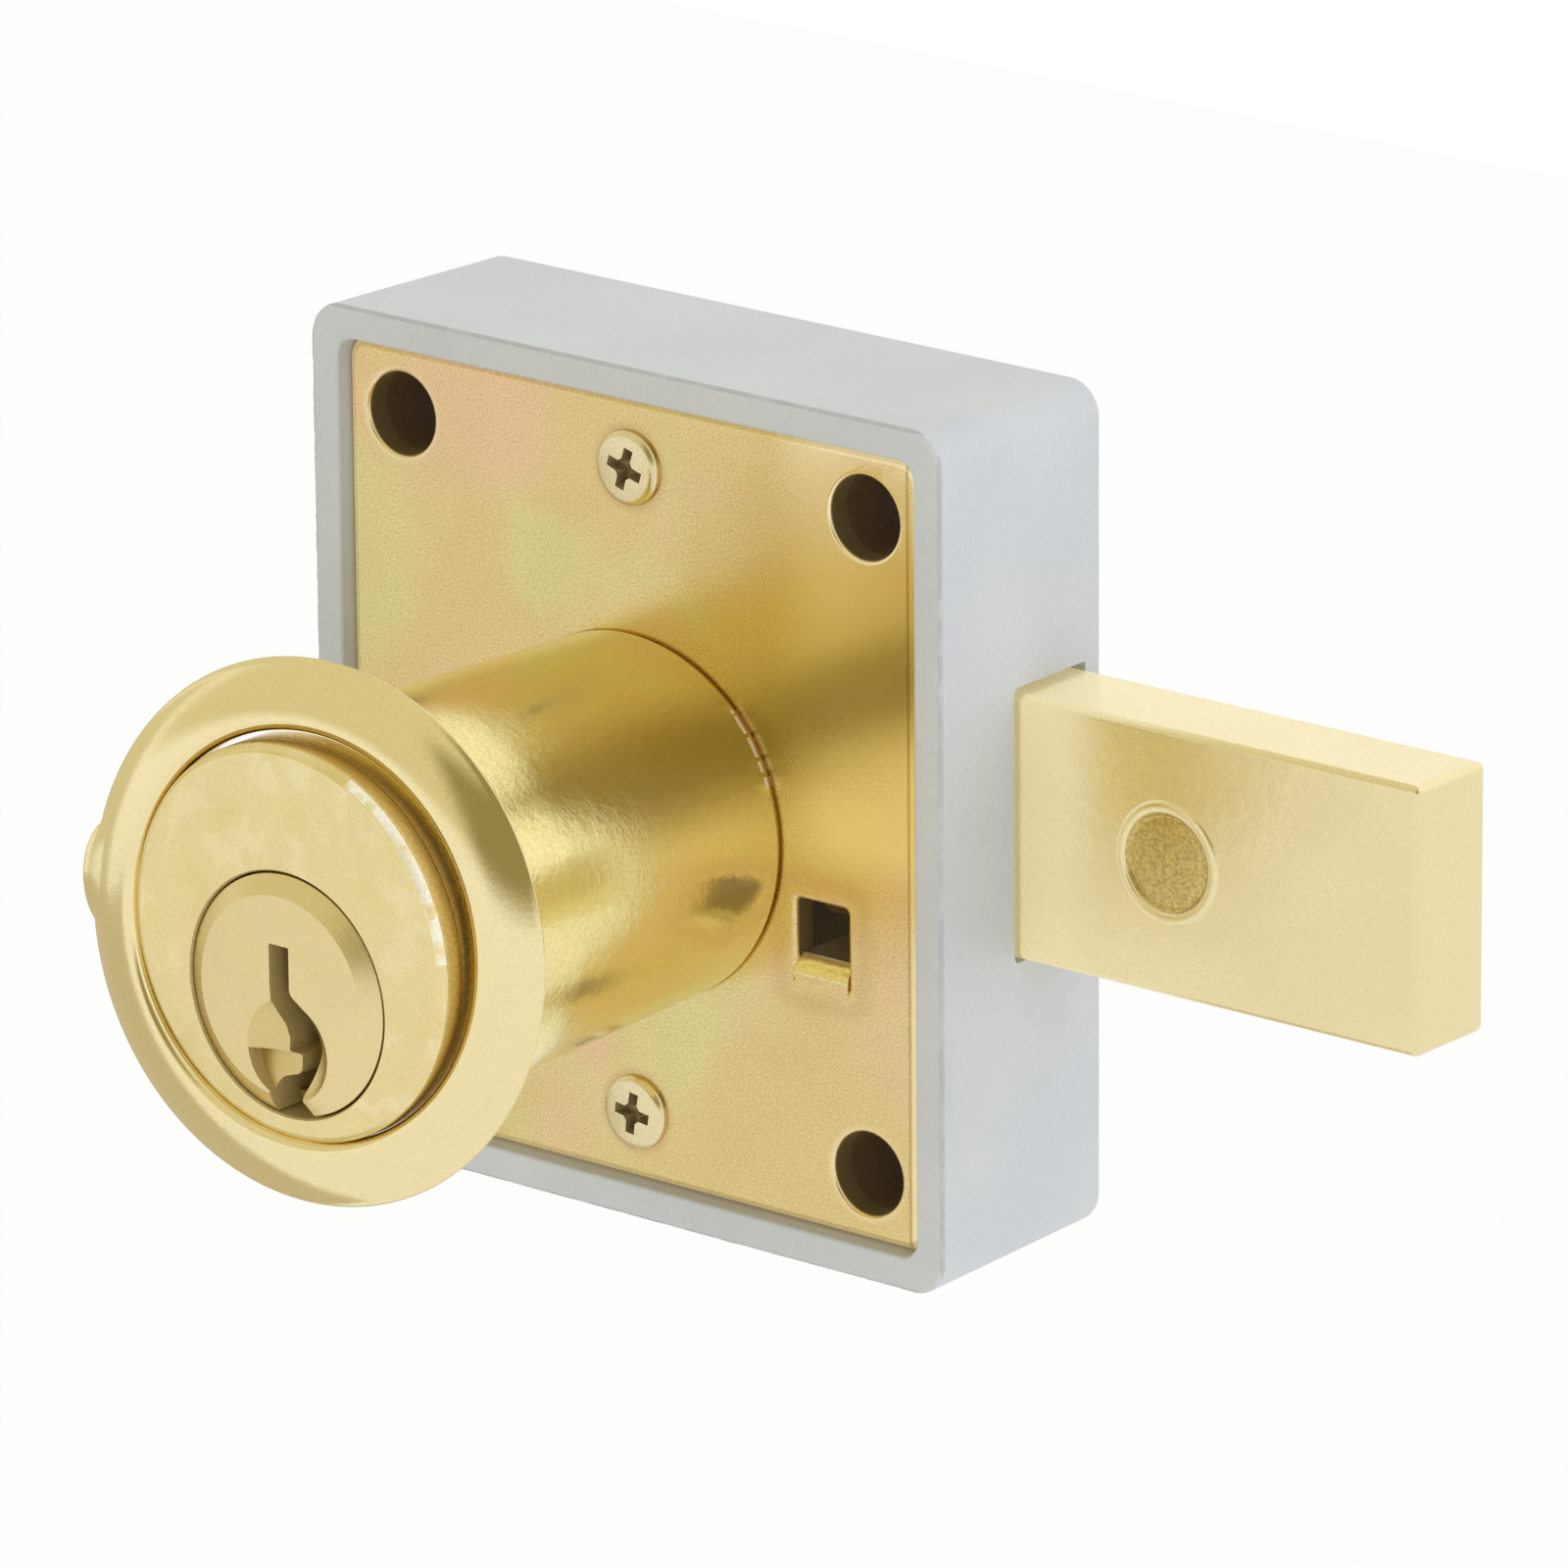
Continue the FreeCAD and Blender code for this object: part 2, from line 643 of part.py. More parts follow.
# Pins stand at the shear line, as with the right key in the lock.
def make_pins():
    made = []
    for i in range(int(value("chamberCount"))):
        y = f"faceY + chamberFirst + {i} * chamberPitch"
        tall = f"keyPinLength{i % len(pinLengths) + 1}"
        keyPin = body(f"key_pin_{i + 1}", y=y, z=f"shearZ - {tall}")
        turned(keyPin, f"keyPinTurning{i + 1}", [
            ("0", "0"),
            ("pinTip / 2", "0"),
            ("pinDiameter / 2", "pinTipHeight"),
            ("pinDiameter / 2", f"{tall} - pinCrown - pinBreak"),
            ("pinDiameter / 2 - pinBreak", f"{tall} - pinCrown"),
            ("0", f"{tall} - pinCrown"),
        ], upright=True)
        driver = body(f"driver_pin_{i + 1}", y=y, z="shearZ")
        turned(driver, f"driverTurning{i + 1}", [
            ("0", "driverGap"),
            ("pinDiameter / 2 - pinBreak", "driverGap"),
            ("pinDiameter / 2", "driverGap + pinBreak"),
            ("pinDiameter / 2", "driverLength - pinBreak"),
            ("pinDiameter / 2 - pinBreak", "driverLength"),
            ("0", "driverLength"),
        ], upright=True)
        made += [keyPin, driver]
    return made


def coil(radius, wire, height, turns):
    """One unbroken round wire on quarter-turn arcs, and its least gap to itself."""
    steps = int(turns) * 4
    rise = (height - wire) / steps
    points = []
    for i in range(2 * steps + 1):
        angle = math.pi / 4 * i
        x, y = radius * math.cos(angle), radius * math.sin(angle)
        points.append(FreeCAD.Vector(x, y, wire / 2 + rise * i / 2))
    edges = [Part.Arc(*points[i:i + 3]).toShape() for i in range(0, 2 * steps, 2)]
    path = Part.Wire(edges)
    section = Part.Wire(Part.Circle(points[0], FreeCAD.Vector(0, 1, 0), wire / 2).toShape())
    shape = path.makePipeShell([section], True, False)
    return shape, rise * 4 - wire


def make_springs():
    made = []
    wire = value("springWire")
    low = value("shearZ + driverLength + springGap")
    high = value("chamberTop - springGap")
    shape, gap = coil(value("springCoil - springWire") / 2, wire, high - low, value("springTurns"))
    print(f"driver spring: least gap between turns {gap:.2f} mm, volume {shape.Volume:.3f} mm3")
    for i in range(int(value("chamberCount"))):
        spring = doc.addObject("Part::Feature", f"driver_spring_{i + 1}")
        spring.Label = f"driver_spring_{i + 1}"
        spring.Shape = shape
        spring.Placement = FreeCAD.Placement(FreeCAD.Vector(0, 0, low), FreeCAD.Rotation())
        link(spring, ".Placement.Base.y", f"faceY + chamberFirst + {i} * chamberPitch")
        made.append(spring)
    return made


# Tail arm: swings with the plug and carries the crank pin that throws the bolt.
def make_arm():
    arm = body("tail_arm", z="plugZ")
    hub = sketch(arm, "armHubOutline", offset="-armFront")
    circle(hub, "armHub")
    pad(arm, "armHubPad", hub, "armThickness", back=True)
    blade = sketch(arm, "armBladeOutline", offset="-armFront")
    outline(blade, [
        ("-armRoot / 2", "0"),
        ("armRoot / 2", "0"),
        ("armEnd / 2", "armLength"),
        ("-armEnd / 2", "armLength"),
    ])
    pad(arm, "armBlade", blade, "armThickness", back=True)
    tip = sketch(arm, "armTipOutline", offset="-armFront")
    circle(tip, "armEnd", "0", "armLength")
    pad(arm, "armTip", tip, "armThickness", back=True)
    holes = sketch(arm, "armHoles", offset="-armFront")
    circle(holes, "crankPin", "0", "armLength")
    rectangle(holes, "tailSquare + 2 * fitClearance", "tailSquare + 2 * fitClearance")
    pocket(arm, "armOpenings", holes, "armThickness")
    arm.Placement = FreeCAD.Placement(arm.Placement.Base, FreeCAD.Rotation(alongY, 0))
    link(arm, ".Placement.Rotation.Angle", "armSwing")
    return arm


def make_crank():
    made = rod("crank_pin", "crankPin", "boltBack - boltSideGap - armFront", "crankX", "armFront", "crankZ")
    made.Label = "crank_pin"
    return made


def make_tail_screw():
    head = rod("tailHead", "tailScrewHead", "tailScrewHeight", "0", "armBack", "plugZ")
    shank = rod("tailShank", "tailScrewThread", "tailScrewLength", "0", "armBack - tailScrewLength", "plugZ")
    slot = primitive("Box", "tailSlot", "-tailScrewHead / 2 - cutOver", "armBack + tailScrewHeight / 2",
                     "plugZ - tailScrewSlot / 2", Length="tailScrewHead + 2 * cutOver",
                     Width="tailScrewHeight", Height="tailScrewSlot")
    return cut("tail_screw", join("tailScrewBlank", [head, shank]), [slot])


# Bolt: a solid bar with a forked lug at its heel, and a pressed round mark on its front.
def make_bolt():
    bolt = body("bolt")
    side = sketch(bolt, "boltOutline", offset="-boltFront")
    outline(side, [
        ("heelX", "boltLow"),
        ("boltEnd", "boltLow"),
        ("boltEnd", "boltHigh"),
        ("lugRight", "boltHigh"),
        ("lugRight", "lugTop"),
        ("crankX + forkWidth / 2", "lugTop"),
        ("crankX + forkWidth / 2", "forkFloor"),
        ("crankX - forkWidth / 2", "forkFloor"),
        ("crankX - forkWidth / 2", "lugTop"),
        ("heelX", "lugTop"),
    ])
    pad(bolt, "boltBar", side, "boltThickness", back=True)
    tip = value("boltEnd")
    wall = value("caseWidth / 2")
    soften(bolt, "boltEdges", "boltSoftness", lambda edge: middle(edge).x > tip - 0.01
           or (edge.Length > 20 and middle(edge).x > wall - 5))
    raised = sketch(bolt, "markRim", offset="-boltFront")
    circle(raised, "markDiameter", "markX", "boltRise")
    circle(raised, "markFloor", "markX", "boltRise")
    pad(bolt, "markRing", raised, "markRaise")
    sunk = sketch(bolt, "markDisc", offset="-boltFront")
    circle(sunk, "markFloor", "markX", "boltRise")
    pocket(bolt, "markHollow", sunk, "markDepth")
    return bolt


# Loose ring that slides on the barrel and covers the edge of the hole in the door: a lip round the bore and a band
# that slopes back to a thin edge. It is drawn square, from the plane of that edge, and then set aslant.
def make_ring():
    turning = body("ring_turning")
    turned(turning, "ringTurning", [
        ("shellBack", "ringBore / 2"),
        ("-ringRise", "ringBore / 2"),
        ("-ringRise", "lipOuter - ringBreak"),
        ("ringStep - ringRise", "lipOuter"),
        ("-ringEdge", "ringDiameter / 2"),
        ("0", "ringDiameter / 2"),
        ("0", "ringDiameter / 2 - ringBreak"),
        ("shellBack", "lipOuter"),
    ])
    bore, front = value("ringBore / 2"), value("-ringRise")
    soften(turning, "ringMouth", "ringRound", lambda edge: ring_edge(edge, bore, front))
    nub = rod("ringNub", "nubWidth", "ringEdge", "nubReach * cos(nubAngle * 1deg)",
              "-ringEdge", "nubReach * sin(nubAngle * 1deg)")
    ring = join("escutcheon_ring", [turning, nub])
    link(ring, ".Placement.Base.y", "-ringSetout")
    link(ring, ".Placement.Base.z", "ringLift - barrelDrop")
    link(ring, ".Placement.Rotation.Angle", "ringTilt * 1deg")
    link(ring, ".Placement.Rotation.Axis.x", "cos(ringTiltAxis * 1deg)")
    link(ring, ".Placement.Rotation.Axis.y", "0")
    link(ring, ".Placement.Rotation.Axis.z", "sin(ringTiltAxis * 1deg)")
    return ring


nodes = {
    "case": make_case(),
    "front_plate": make_plate(),
    "plate_screws": make_screws(),
    "cylinder_core": make_core(),
    "barrel_sleeve": make_sleeve(),
    "barrel_nut": make_nut(),
    "plug": make_plug(),
    "tail_arm": make_arm(),
    "crank_pin": make_crank(),
    "tail_screw": make_tail_screw(),
    "bolt": make_bolt(),
    "escutcheon_ring": make_ring(),
}
for pin in make_pins():
    nodes[pin.Label] = pin
for spring in make_springs():
    nodes[spring.Label] = spring

# Pieces are drawn from the rim plane; the frame's origin is on the plate's face behind it.
for item in nodes.values():
    drawn = [text for path, text in item.ExpressionEngine if path.endswith("Placement.Base.y")]
    item.setExpression(".Placement.Base.y", f"{drawn[0] if drawn else 0} - {bound('plateRecess')}")

doc.recompute()
faults = [f"{item.Name}: {item.State}" for item in doc.Objects if {"Invalid", "Error"} & set(item.State)]
for name, item in nodes.items():
    if item.Shape.isNull() or not item.Shape.isValid():
        faults.append(f"{name}: bad shape")
if faults:
    raise RuntimeError("; ".join(faults))

os.makedirs("parts", exist_ok=True)
for name, item in nodes.items():
    item.Shape.exportStep(f"parts/{name}.step")
    print(f"{name}: {len(item.Shape.Solids)} solid, {item.Shape.Volume:.1f} mm3")
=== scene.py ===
import math
import bmesh
import bpy
from mathutils import Matrix, Vector, noise


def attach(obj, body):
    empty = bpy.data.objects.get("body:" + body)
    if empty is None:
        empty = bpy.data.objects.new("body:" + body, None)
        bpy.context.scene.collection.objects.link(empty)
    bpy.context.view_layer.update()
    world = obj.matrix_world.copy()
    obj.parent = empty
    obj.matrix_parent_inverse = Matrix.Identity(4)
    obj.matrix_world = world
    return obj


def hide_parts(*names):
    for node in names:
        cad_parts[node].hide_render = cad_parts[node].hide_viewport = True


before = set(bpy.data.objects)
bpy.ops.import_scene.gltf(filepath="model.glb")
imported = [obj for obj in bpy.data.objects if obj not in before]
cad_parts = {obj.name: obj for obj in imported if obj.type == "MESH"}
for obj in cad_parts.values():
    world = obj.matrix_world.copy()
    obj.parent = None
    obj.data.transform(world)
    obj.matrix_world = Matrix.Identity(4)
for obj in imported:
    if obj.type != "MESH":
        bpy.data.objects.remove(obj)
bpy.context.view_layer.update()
mm = 0.001
scene = bpy.context.scene
print("frame loaded:", len(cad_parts), "nodes")

# camera and light

cameraSet = {
    "place": (0.42691, -0.50511, 0.21264),
    "turn": (71.9717, 0.3789, 39.1371),   # degrees, X Y Z
    "lens": 289.25,
    "shift": (-0.03002, 0.03251),
}
lens = bpy.data.cameras.new("lockCamera")
lens.lens = cameraSet["lens"]
lens.sensor_width = 36
lens.shift_x, lens.shift_y = cameraSet["shift"]
lens.clip_start, lens.clip_end = 0.05, 20
camera = bpy.data.objects.new("lockCamera", lens)
camera.location = cameraSet["place"]
camera.rotation_euler = [math.radians(a) for a in cameraSet["turn"]]
scene.collection.objects.link(camera)
scene.camera = camera
scene.view_settings.view_transform = "Standard"


# node helpers

class Tree:
    # short calls for one node tree

    def __init__(self, tree):
        self.tree = tree

    def fill(self, node, values):
        for key, given in values.items():
            if isinstance(given, bpy.types.NodeSocket):
                self.tree.links.new(given, node.inputs[key])
            else:
                node.inputs[key].default_value = given

    def first(self, kind):
        return next(node for node in self.tree.nodes if node.type == kind)

    def add(self, kind, values=None, **settings):
        made = self.tree.nodes.new(kind)
        for key, setting in settings.items():
            setattr(made, key, setting)
        self.fill(made, values or {})
        return made

    def maths(self, operation, *given):
        return self.add("ShaderNodeMath", dict(enumerate(given)), operation=operation).outputs[0]

    def ramp(self, value, low, high, start=0.0, end=1.0, kind="SMOOTHSTEP"):
        names = {"Value": value, "From Min": low, "From Max": high, "To Min": start, "To Max": end}
        return self.add("ShaderNodeMapRange", names, interpolation_type=kind).outputs["Result"]

    def mix(self, factor, a, b):
        made = self.add("ShaderNodeMix", data_type="RGBA")
        for socket, given in ((made.inputs[0], factor), (made.inputs[6], a), (made.inputs[7], b)):
            if isinstance(given, bpy.types.NodeSocket):
                self.tree.links.new(given, socket)
            else:
                socket.default_value = given if socket.type == "VALUE" else (*given, 1)
        return made.outputs[2]

    def noise(self, vector, scale, detail=3.0, rough=0.5, distortion=0.0):
        values = {"Vector": vector, "Scale": scale, "Detail": detail, "Roughness": rough,
                  "Distortion": distortion}
        return self.add("ShaderNodeTexNoise", values).outputs["Fac"]


def namedTree(name, inputs, outputs, kind="ShaderNodeTree"):
    tree = bpy.data.node_groups.new(name, kind)
    for way, sockets in (("INPUT", inputs), ("OUTPUT", outputs)):
        for label, socket in sockets.items():
            tree.interface.new_socket(label, in_out=way, socket_type="NodeSocket" + socket)
    t = Tree(tree)
    return t, t.add("NodeGroupInput").outputs, t.add("NodeGroupOutput").inputs


def buildWorld():
    # a white tent, dim in front and darkest round the camera
    studio = {
        "low": 1.0, "high": 1.12,             # strength near the floor and overhead
        "dark": (0.30, 0.262, 0.125), "darkSides": (4, 51), "darkHeights": (6, 42),   # degrees
        "dim": (0.72, 0.68, 0.50), "dimSides": (-75, 60), "dimHeight": 6, "leftSides": (-125, -78),
    }
    world = bpy.data.worlds.new("studio")
    scene.world = world
    world.use_nodes = True
    t = Tree(world.node_tree)
    t.tree.nodes.clear()
    view = t.add("ShaderNodeTexCoord").outputs["Generated"]
    x, y, z = t.add("ShaderNodeSeparateXYZ", {0: view}).outputs
    side = t.maths("DEGREES", t.maths("ARCTAN2", x, t.maths("MULTIPLY", y, -1.0)))
    height = t.maths("DEGREES", t.maths("ARCSINE", z))

    def between(sides, soft):   # 1 inside the two angles, 0 outside, with soft edges
        left, right = sides
        rise = t.ramp(side, left - soft, left + soft)
        return t.maths("MULTIPLY", rise, t.ramp(side, right - soft, right + soft, 1, 0))

    low, high = studio["darkHeights"]
    along = t.maths("MULTIPLY", t.ramp(height, low - 7, low + 7), t.ramp(height, high - 8, high + 8, 1, 0))
    dark = t.maths("MULTIPLY", between(studio["darkSides"], 8), along)
    above = t.ramp(height, studio["dimHeight"] - 5, studio["dimHeight"] + 5)
    dim = t.maths("MULTIPLY", between(studio["dimSides"], 10), above)
    slope = t.ramp(z, -0.25, 0.35, studio["low"], studio["high"])
    dim = t.maths("MAXIMUM", dim, between(studio["leftSides"], 5))
    tone = t.mix(dark, t.mix(dim, (1, 1, 1), studio["dim"]), studio["dark"])
    rays = t.add("ShaderNodeLightPath").outputs["Is Camera Ray"]
    lit = t.add("ShaderNodeBackground", {"Color": tone, "Strength": slope})
    seen = t.add("ShaderNodeBackground", {"Color": (1, 1, 1, 1), "Strength": 1.0})
    both = t.add("ShaderNodeMixShader", {0: rays, 1: lit.outputs[0], 2: seen.outputs[0]})
    t.add("ShaderNodeOutputWorld", {"Surface": both.outputs[0]})


buildWorld()


def addLight():
    # a low lamp at the left, which lights the paint and stays out of the metal
    place, target = Vector((0.50, -0.42, 0.10)), Vector((0, -0.02, 0))
    lamp = bpy.data.lights.new("sideLight", "AREA")
    lamp.shape = "RECTANGLE"
    lamp.size, lamp.size_y = 0.10, 0.30
    lamp.energy = 0.62
    made = bpy.data.objects.new("sideLight", lamp)
    made.location = place
    made.rotation_euler = (target - place).to_track_quat("-Z", "Y").to_euler()
    made.visible_glossy = False
    scene.collection.objects.link(made)


addLight()
print("camera, world and lights ready")


# mesh helpers, all in millimetres

rimDepth = 0.8   # pieces are drawn from the rim plane, this far in front of the origin

def roundedPath(points, closed=True, step=9.0):
    # a line through (u, v, radius) points with each corner rounded to its radius
    path = []
    count = len(points)
    for i, point in enumerate(points):
        radius = point[2] if len(point) > 2 else 0
        here = Vector(point[:2])
        if not radius or (not closed and i in (0, count - 1)):
            path.append(tuple(here))
            continue
        back = (Vector(points[i - 1][:2]) - here).normalized()
        ahead = (Vector(points[(i + 1) % count][:2]) - here).normalized()
        half = back.angle(ahead) / 2
        centre = here + (back + ahead).normalized() * radius / math.sin(half)
        start = here + back * radius / math.tan(half) - centre
        end = here + ahead * radius / math.tan(half) - centre
        sweep = start.angle_signed(end)
        pieces = max(2, math.ceil(abs(math.degrees(sweep)) / step))
        for k in range(pieces + 1):
            turn = Matrix.Rotation(-sweep * k / pieces, 2)
            path.append(tuple(centre + turn @ start))
    return path


def meshObject(name, build):
    work = bmesh.new()
    build(work)
    bmesh.ops.recalc_face_normals(work, faces=work.faces)
    mesh = bpy.data.meshes.new(name)
    work.to_mesh(mesh)
    work.free()
    made = bpy.data.objects.new(name, mesh)
    scene.collection.objects.link(made)
    return made


def bridge(work, loops, closed=False):
    # quads between loops of equal length; a loop of one vertex is a pole
    pairs = list(zip(loops, loops[1:])) + ([(loops[-1], loops[0])] if closed else [])
    for a, b in pairs:
        count = max(len(a), len(b))
        for i in range(count):
            j = (i + 1) % count
            ring = [a[i % len(a)], a[j % len(a)], b[j % len(b)], b[i % len(b)]]
            different = list(dict.fromkeys(ring))
            if len(different) > 2:
                work.faces.new(different)


def bridgeCapped(work, loops):
    bridge(work, loops)
    work.faces.new(loops[0])
    work.faces.new(loops[-1])


def lathe(name, path, centre=(0, 0), turns=192, shift=None, closed=True):
    # a turned solid about an axis along Y: path holds (y, radius), centre is the axis (x, z)
    def build(work):
        loops = []
        for y, radius in path:
            if radius < 1e-6:
                loops.append([work.verts.new((centre[0] * mm, y * mm, centre[1] * mm))])
                continue
            loop = []
            for i in range(turns):
                angle = 2 * math.pi * i / turns
                out = radius + (shift(angle, y, radius) if shift else 0)
                x, z = centre[0] + out * math.cos(angle), centre[1] + out * math.sin(angle)
                loop.append(work.verts.new((x * mm, y * mm, z * mm)))
            loops.append(loop)
        bridge(work, loops, closed)
    return meshObject(name, build)


def roundedLoop(halfX, halfZ, radius, y, centre=(0, 0), arc=9, side=1):
    # points round a rectangle with round corners at depth y
    def spot(sideX, sideZ, degrees):
        angle = math.radians(degrees)
        return Vector((centre[0] + sideX * (halfX - radius) + radius * math.cos(angle), y,
                       centre[1] + sideZ * (halfZ - radius) + radius * math.sin(angle)))

    points = []
    quarters = [(1, 1, 0), (-1, 1, 90), (-1, -1, 180), (1, -1, 270)]
    for (sideX, sideZ, start), following in zip(quarters, quarters[1:] + quarters[:1]):
        points += [spot(sideX, sideZ, start + 90 * i / arc) for i in range(arc + 1)]
        last, ahead = points[-1], spot(*following)
        points += [last.lerp(ahead, i / side) for i in range(1, side)]
    return points


def loft(name, path, halfX, halfZ, corner, centre=(0, 0), arc=9, side=1, move=None):
    # rounded rectangles along path of (inset, y), capped at both ends
    def build(work):
        loops = []
        for inset, y in path:
            radius = corner(inset) if callable(corner) else corner
            loop = roundedLoop(halfX - inset, halfZ - inset, radius, y, centre, arc, side)
            if move:
                loop = [point + move(point, inset) for point in loop]
            loops.append([work.verts.new(point * mm) for point in loop])
        bridgeCapped(work, loops)
    return meshObject(name, build)


def prism(name, outline, low, high, axis="Y"):
    # an outline extruded between two depths: along Y its points are (x, z), along X they are (y, z)
    def build(work):
        ends = []
        for depth in (low, high):
            places = [(u, depth, v) if axis == "Y" else (depth, u, v) for u, v in outline]
            ends.append([work.verts.new(Vector(place) * mm) for place in places])
        bridgeCapped(work, ends)
    return meshObject(name, build)


def box(name, low, high):
    outline = [(low[0], low[2]), (high[0], low[2]), (high[0], high[2]), (low[0], high[2])]
    return prism(name, outline, low[1], high[1])


def settle(piece):
    # the evaluated mesh takes the place of the mesh and its modifiers
    graph = bpy.context.evaluated_depsgraph_get()
    ready = piece.evaluated_get(graph)
    made = bpy.data.meshes.new_from_object(ready, preserve_all_data_layers=True, depsgraph=graph)
    piece.modifiers.clear()
    piece.data = made
    made.name = piece.name


def combine(piece, tools, operation="DIFFERENCE"):
    # booleans one after another; the tools are used up
    for tool in tools:
        change = piece.modifiers.new("shape", "BOOLEAN")
        change.operation = operation
        change.solver = "EXACT"
        change.object = tool
        settle(piece)
        bpy.data.objects.remove(tool)
    return piece


def shade(piece, angle=32.0):
    mesh = piece.data
    mesh.polygons.foreach_set("use_smooth", [True] * len(mesh.polygons))
    mesh.set_sharp_from_angle(angle=math.radians(angle))
    piece.modifiers.new("normals", "WEIGHTED_NORMAL").keep_sharp = True
    settle(piece)


# geometry nodes trees for pieces that repeat and for a piece turned from a line

def growTree(name, inputs):
    mesh = {"Geometry": "Geometry"}
    return namedTree(name, {**mesh, **inputs}, mesh, "GeometryNodeTree")


def grow(name, tree, values, host=None):
    # runs the tree on an object and leaves a plain mesh
    if host is None:
        host = bpy.data.objects.new(name, bpy.data.meshes.new(name))
        scene.collection.objects.link(host)
    change = host.modifiers.new("nodes", "NODES")
    change.node_group = tree
    for socket in tree.interface.items_tree:
        if socket.in_out == "INPUT" and socket.name in values:
            change[socket.identifier] = values[socket.name]
    settle(host)
    return host


def placeCopies(t, piece, points, turn=None):
    # a copy of the piece on each point, as real mesh
    copy = t.add("GeometryNodeObjectInfo", {"Object": piece, "As Instance": True}).outputs["Geometry"]
    values = {"Points": points, "Instance": copy}
    if turn is not None:
        values["Rotation"] = turn
    placed = t.add("GeometryNodeInstanceOnPoints", values)
    return t.add("GeometryNodeRealizeInstances", {0: placed.outputs[0]}).outputs[0]


def paintAll(t, geometry, material, **chosen):
    values = {"Geometry": geometry, "Material": material, **chosen}
    return t.add("GeometryNodeSetMaterial", values).outputs[0]


def makeRowTree():
    # copies of a piece in a straight row, each turned a step further about Y
    inputs = {"Piece": "Object", "Count": "Int", "Start": "Vector", "Step": "Vector", "First Turn": "Float",
              "Turn Step": "Float", "Body": "Material", "Recess": "Material"}
    t, given, out = growTree("piecesInRow", inputs)
    line = {"Count": given["Count"], "Start Location": given["Start"], "Offset": given["Step"]}
    row = t.add("GeometryNodeMeshLine", line).outputs[0]
    index = t.add("GeometryNodeInputIndex").outputs[0]
    turn = t.maths("MULTIPLY_ADD", index, given["Turn Step"], given["First Turn"])
    whole = placeCopies(t, given["Piece"], row, t.add("ShaderNodeCombineXYZ", {1: turn}).outputs[0])
    body = paintAll(t, whole, given["Body"])
    marked = t.add("GeometryNodeInputNamedAttribute", {"Name": "recess"}, data_type="BOOLEAN")
    t.tree.links.new(paintAll(t, body, given["Recess"], Selection=marked.outputs["Attribute"]), out[0])
    return t.tree


def makeCornerTree():
    # copies of a piece at the four corners of an upright rectangle
    inputs = {"Piece": "Object", "Half Width": "Float", "Half Height": "Float", "Body": "Material"}
    t, given, out = growTree("piecesAtCorners", inputs)
    size = {"Size X": t.maths("MULTIPLY", given["Half Width"], 2.0),
            "Size Y": t.maths("MULTIPLY", given["Half Height"], 2.0), "Vertices X": 2, "Vertices Y": 2}
    grid = t.add("GeometryNodeMeshGrid", size).outputs[0]
    x, y, _ = t.add("ShaderNodeSeparateXYZ", {0: t.add("GeometryNodeInputPosition").outputs[0]}).outputs
    upright = t.add("ShaderNodeCombineXYZ", {0: x, 2: y}).outputs[0]
    points = t.add("GeometryNodeSetPosition", {"Geometry": grid, "Position": upright}).outputs[0]
    t.tree.links.new(paintAll(t, placeCopies(t, given["Piece"], points), given["Body"]), out[0])
    return t.tree


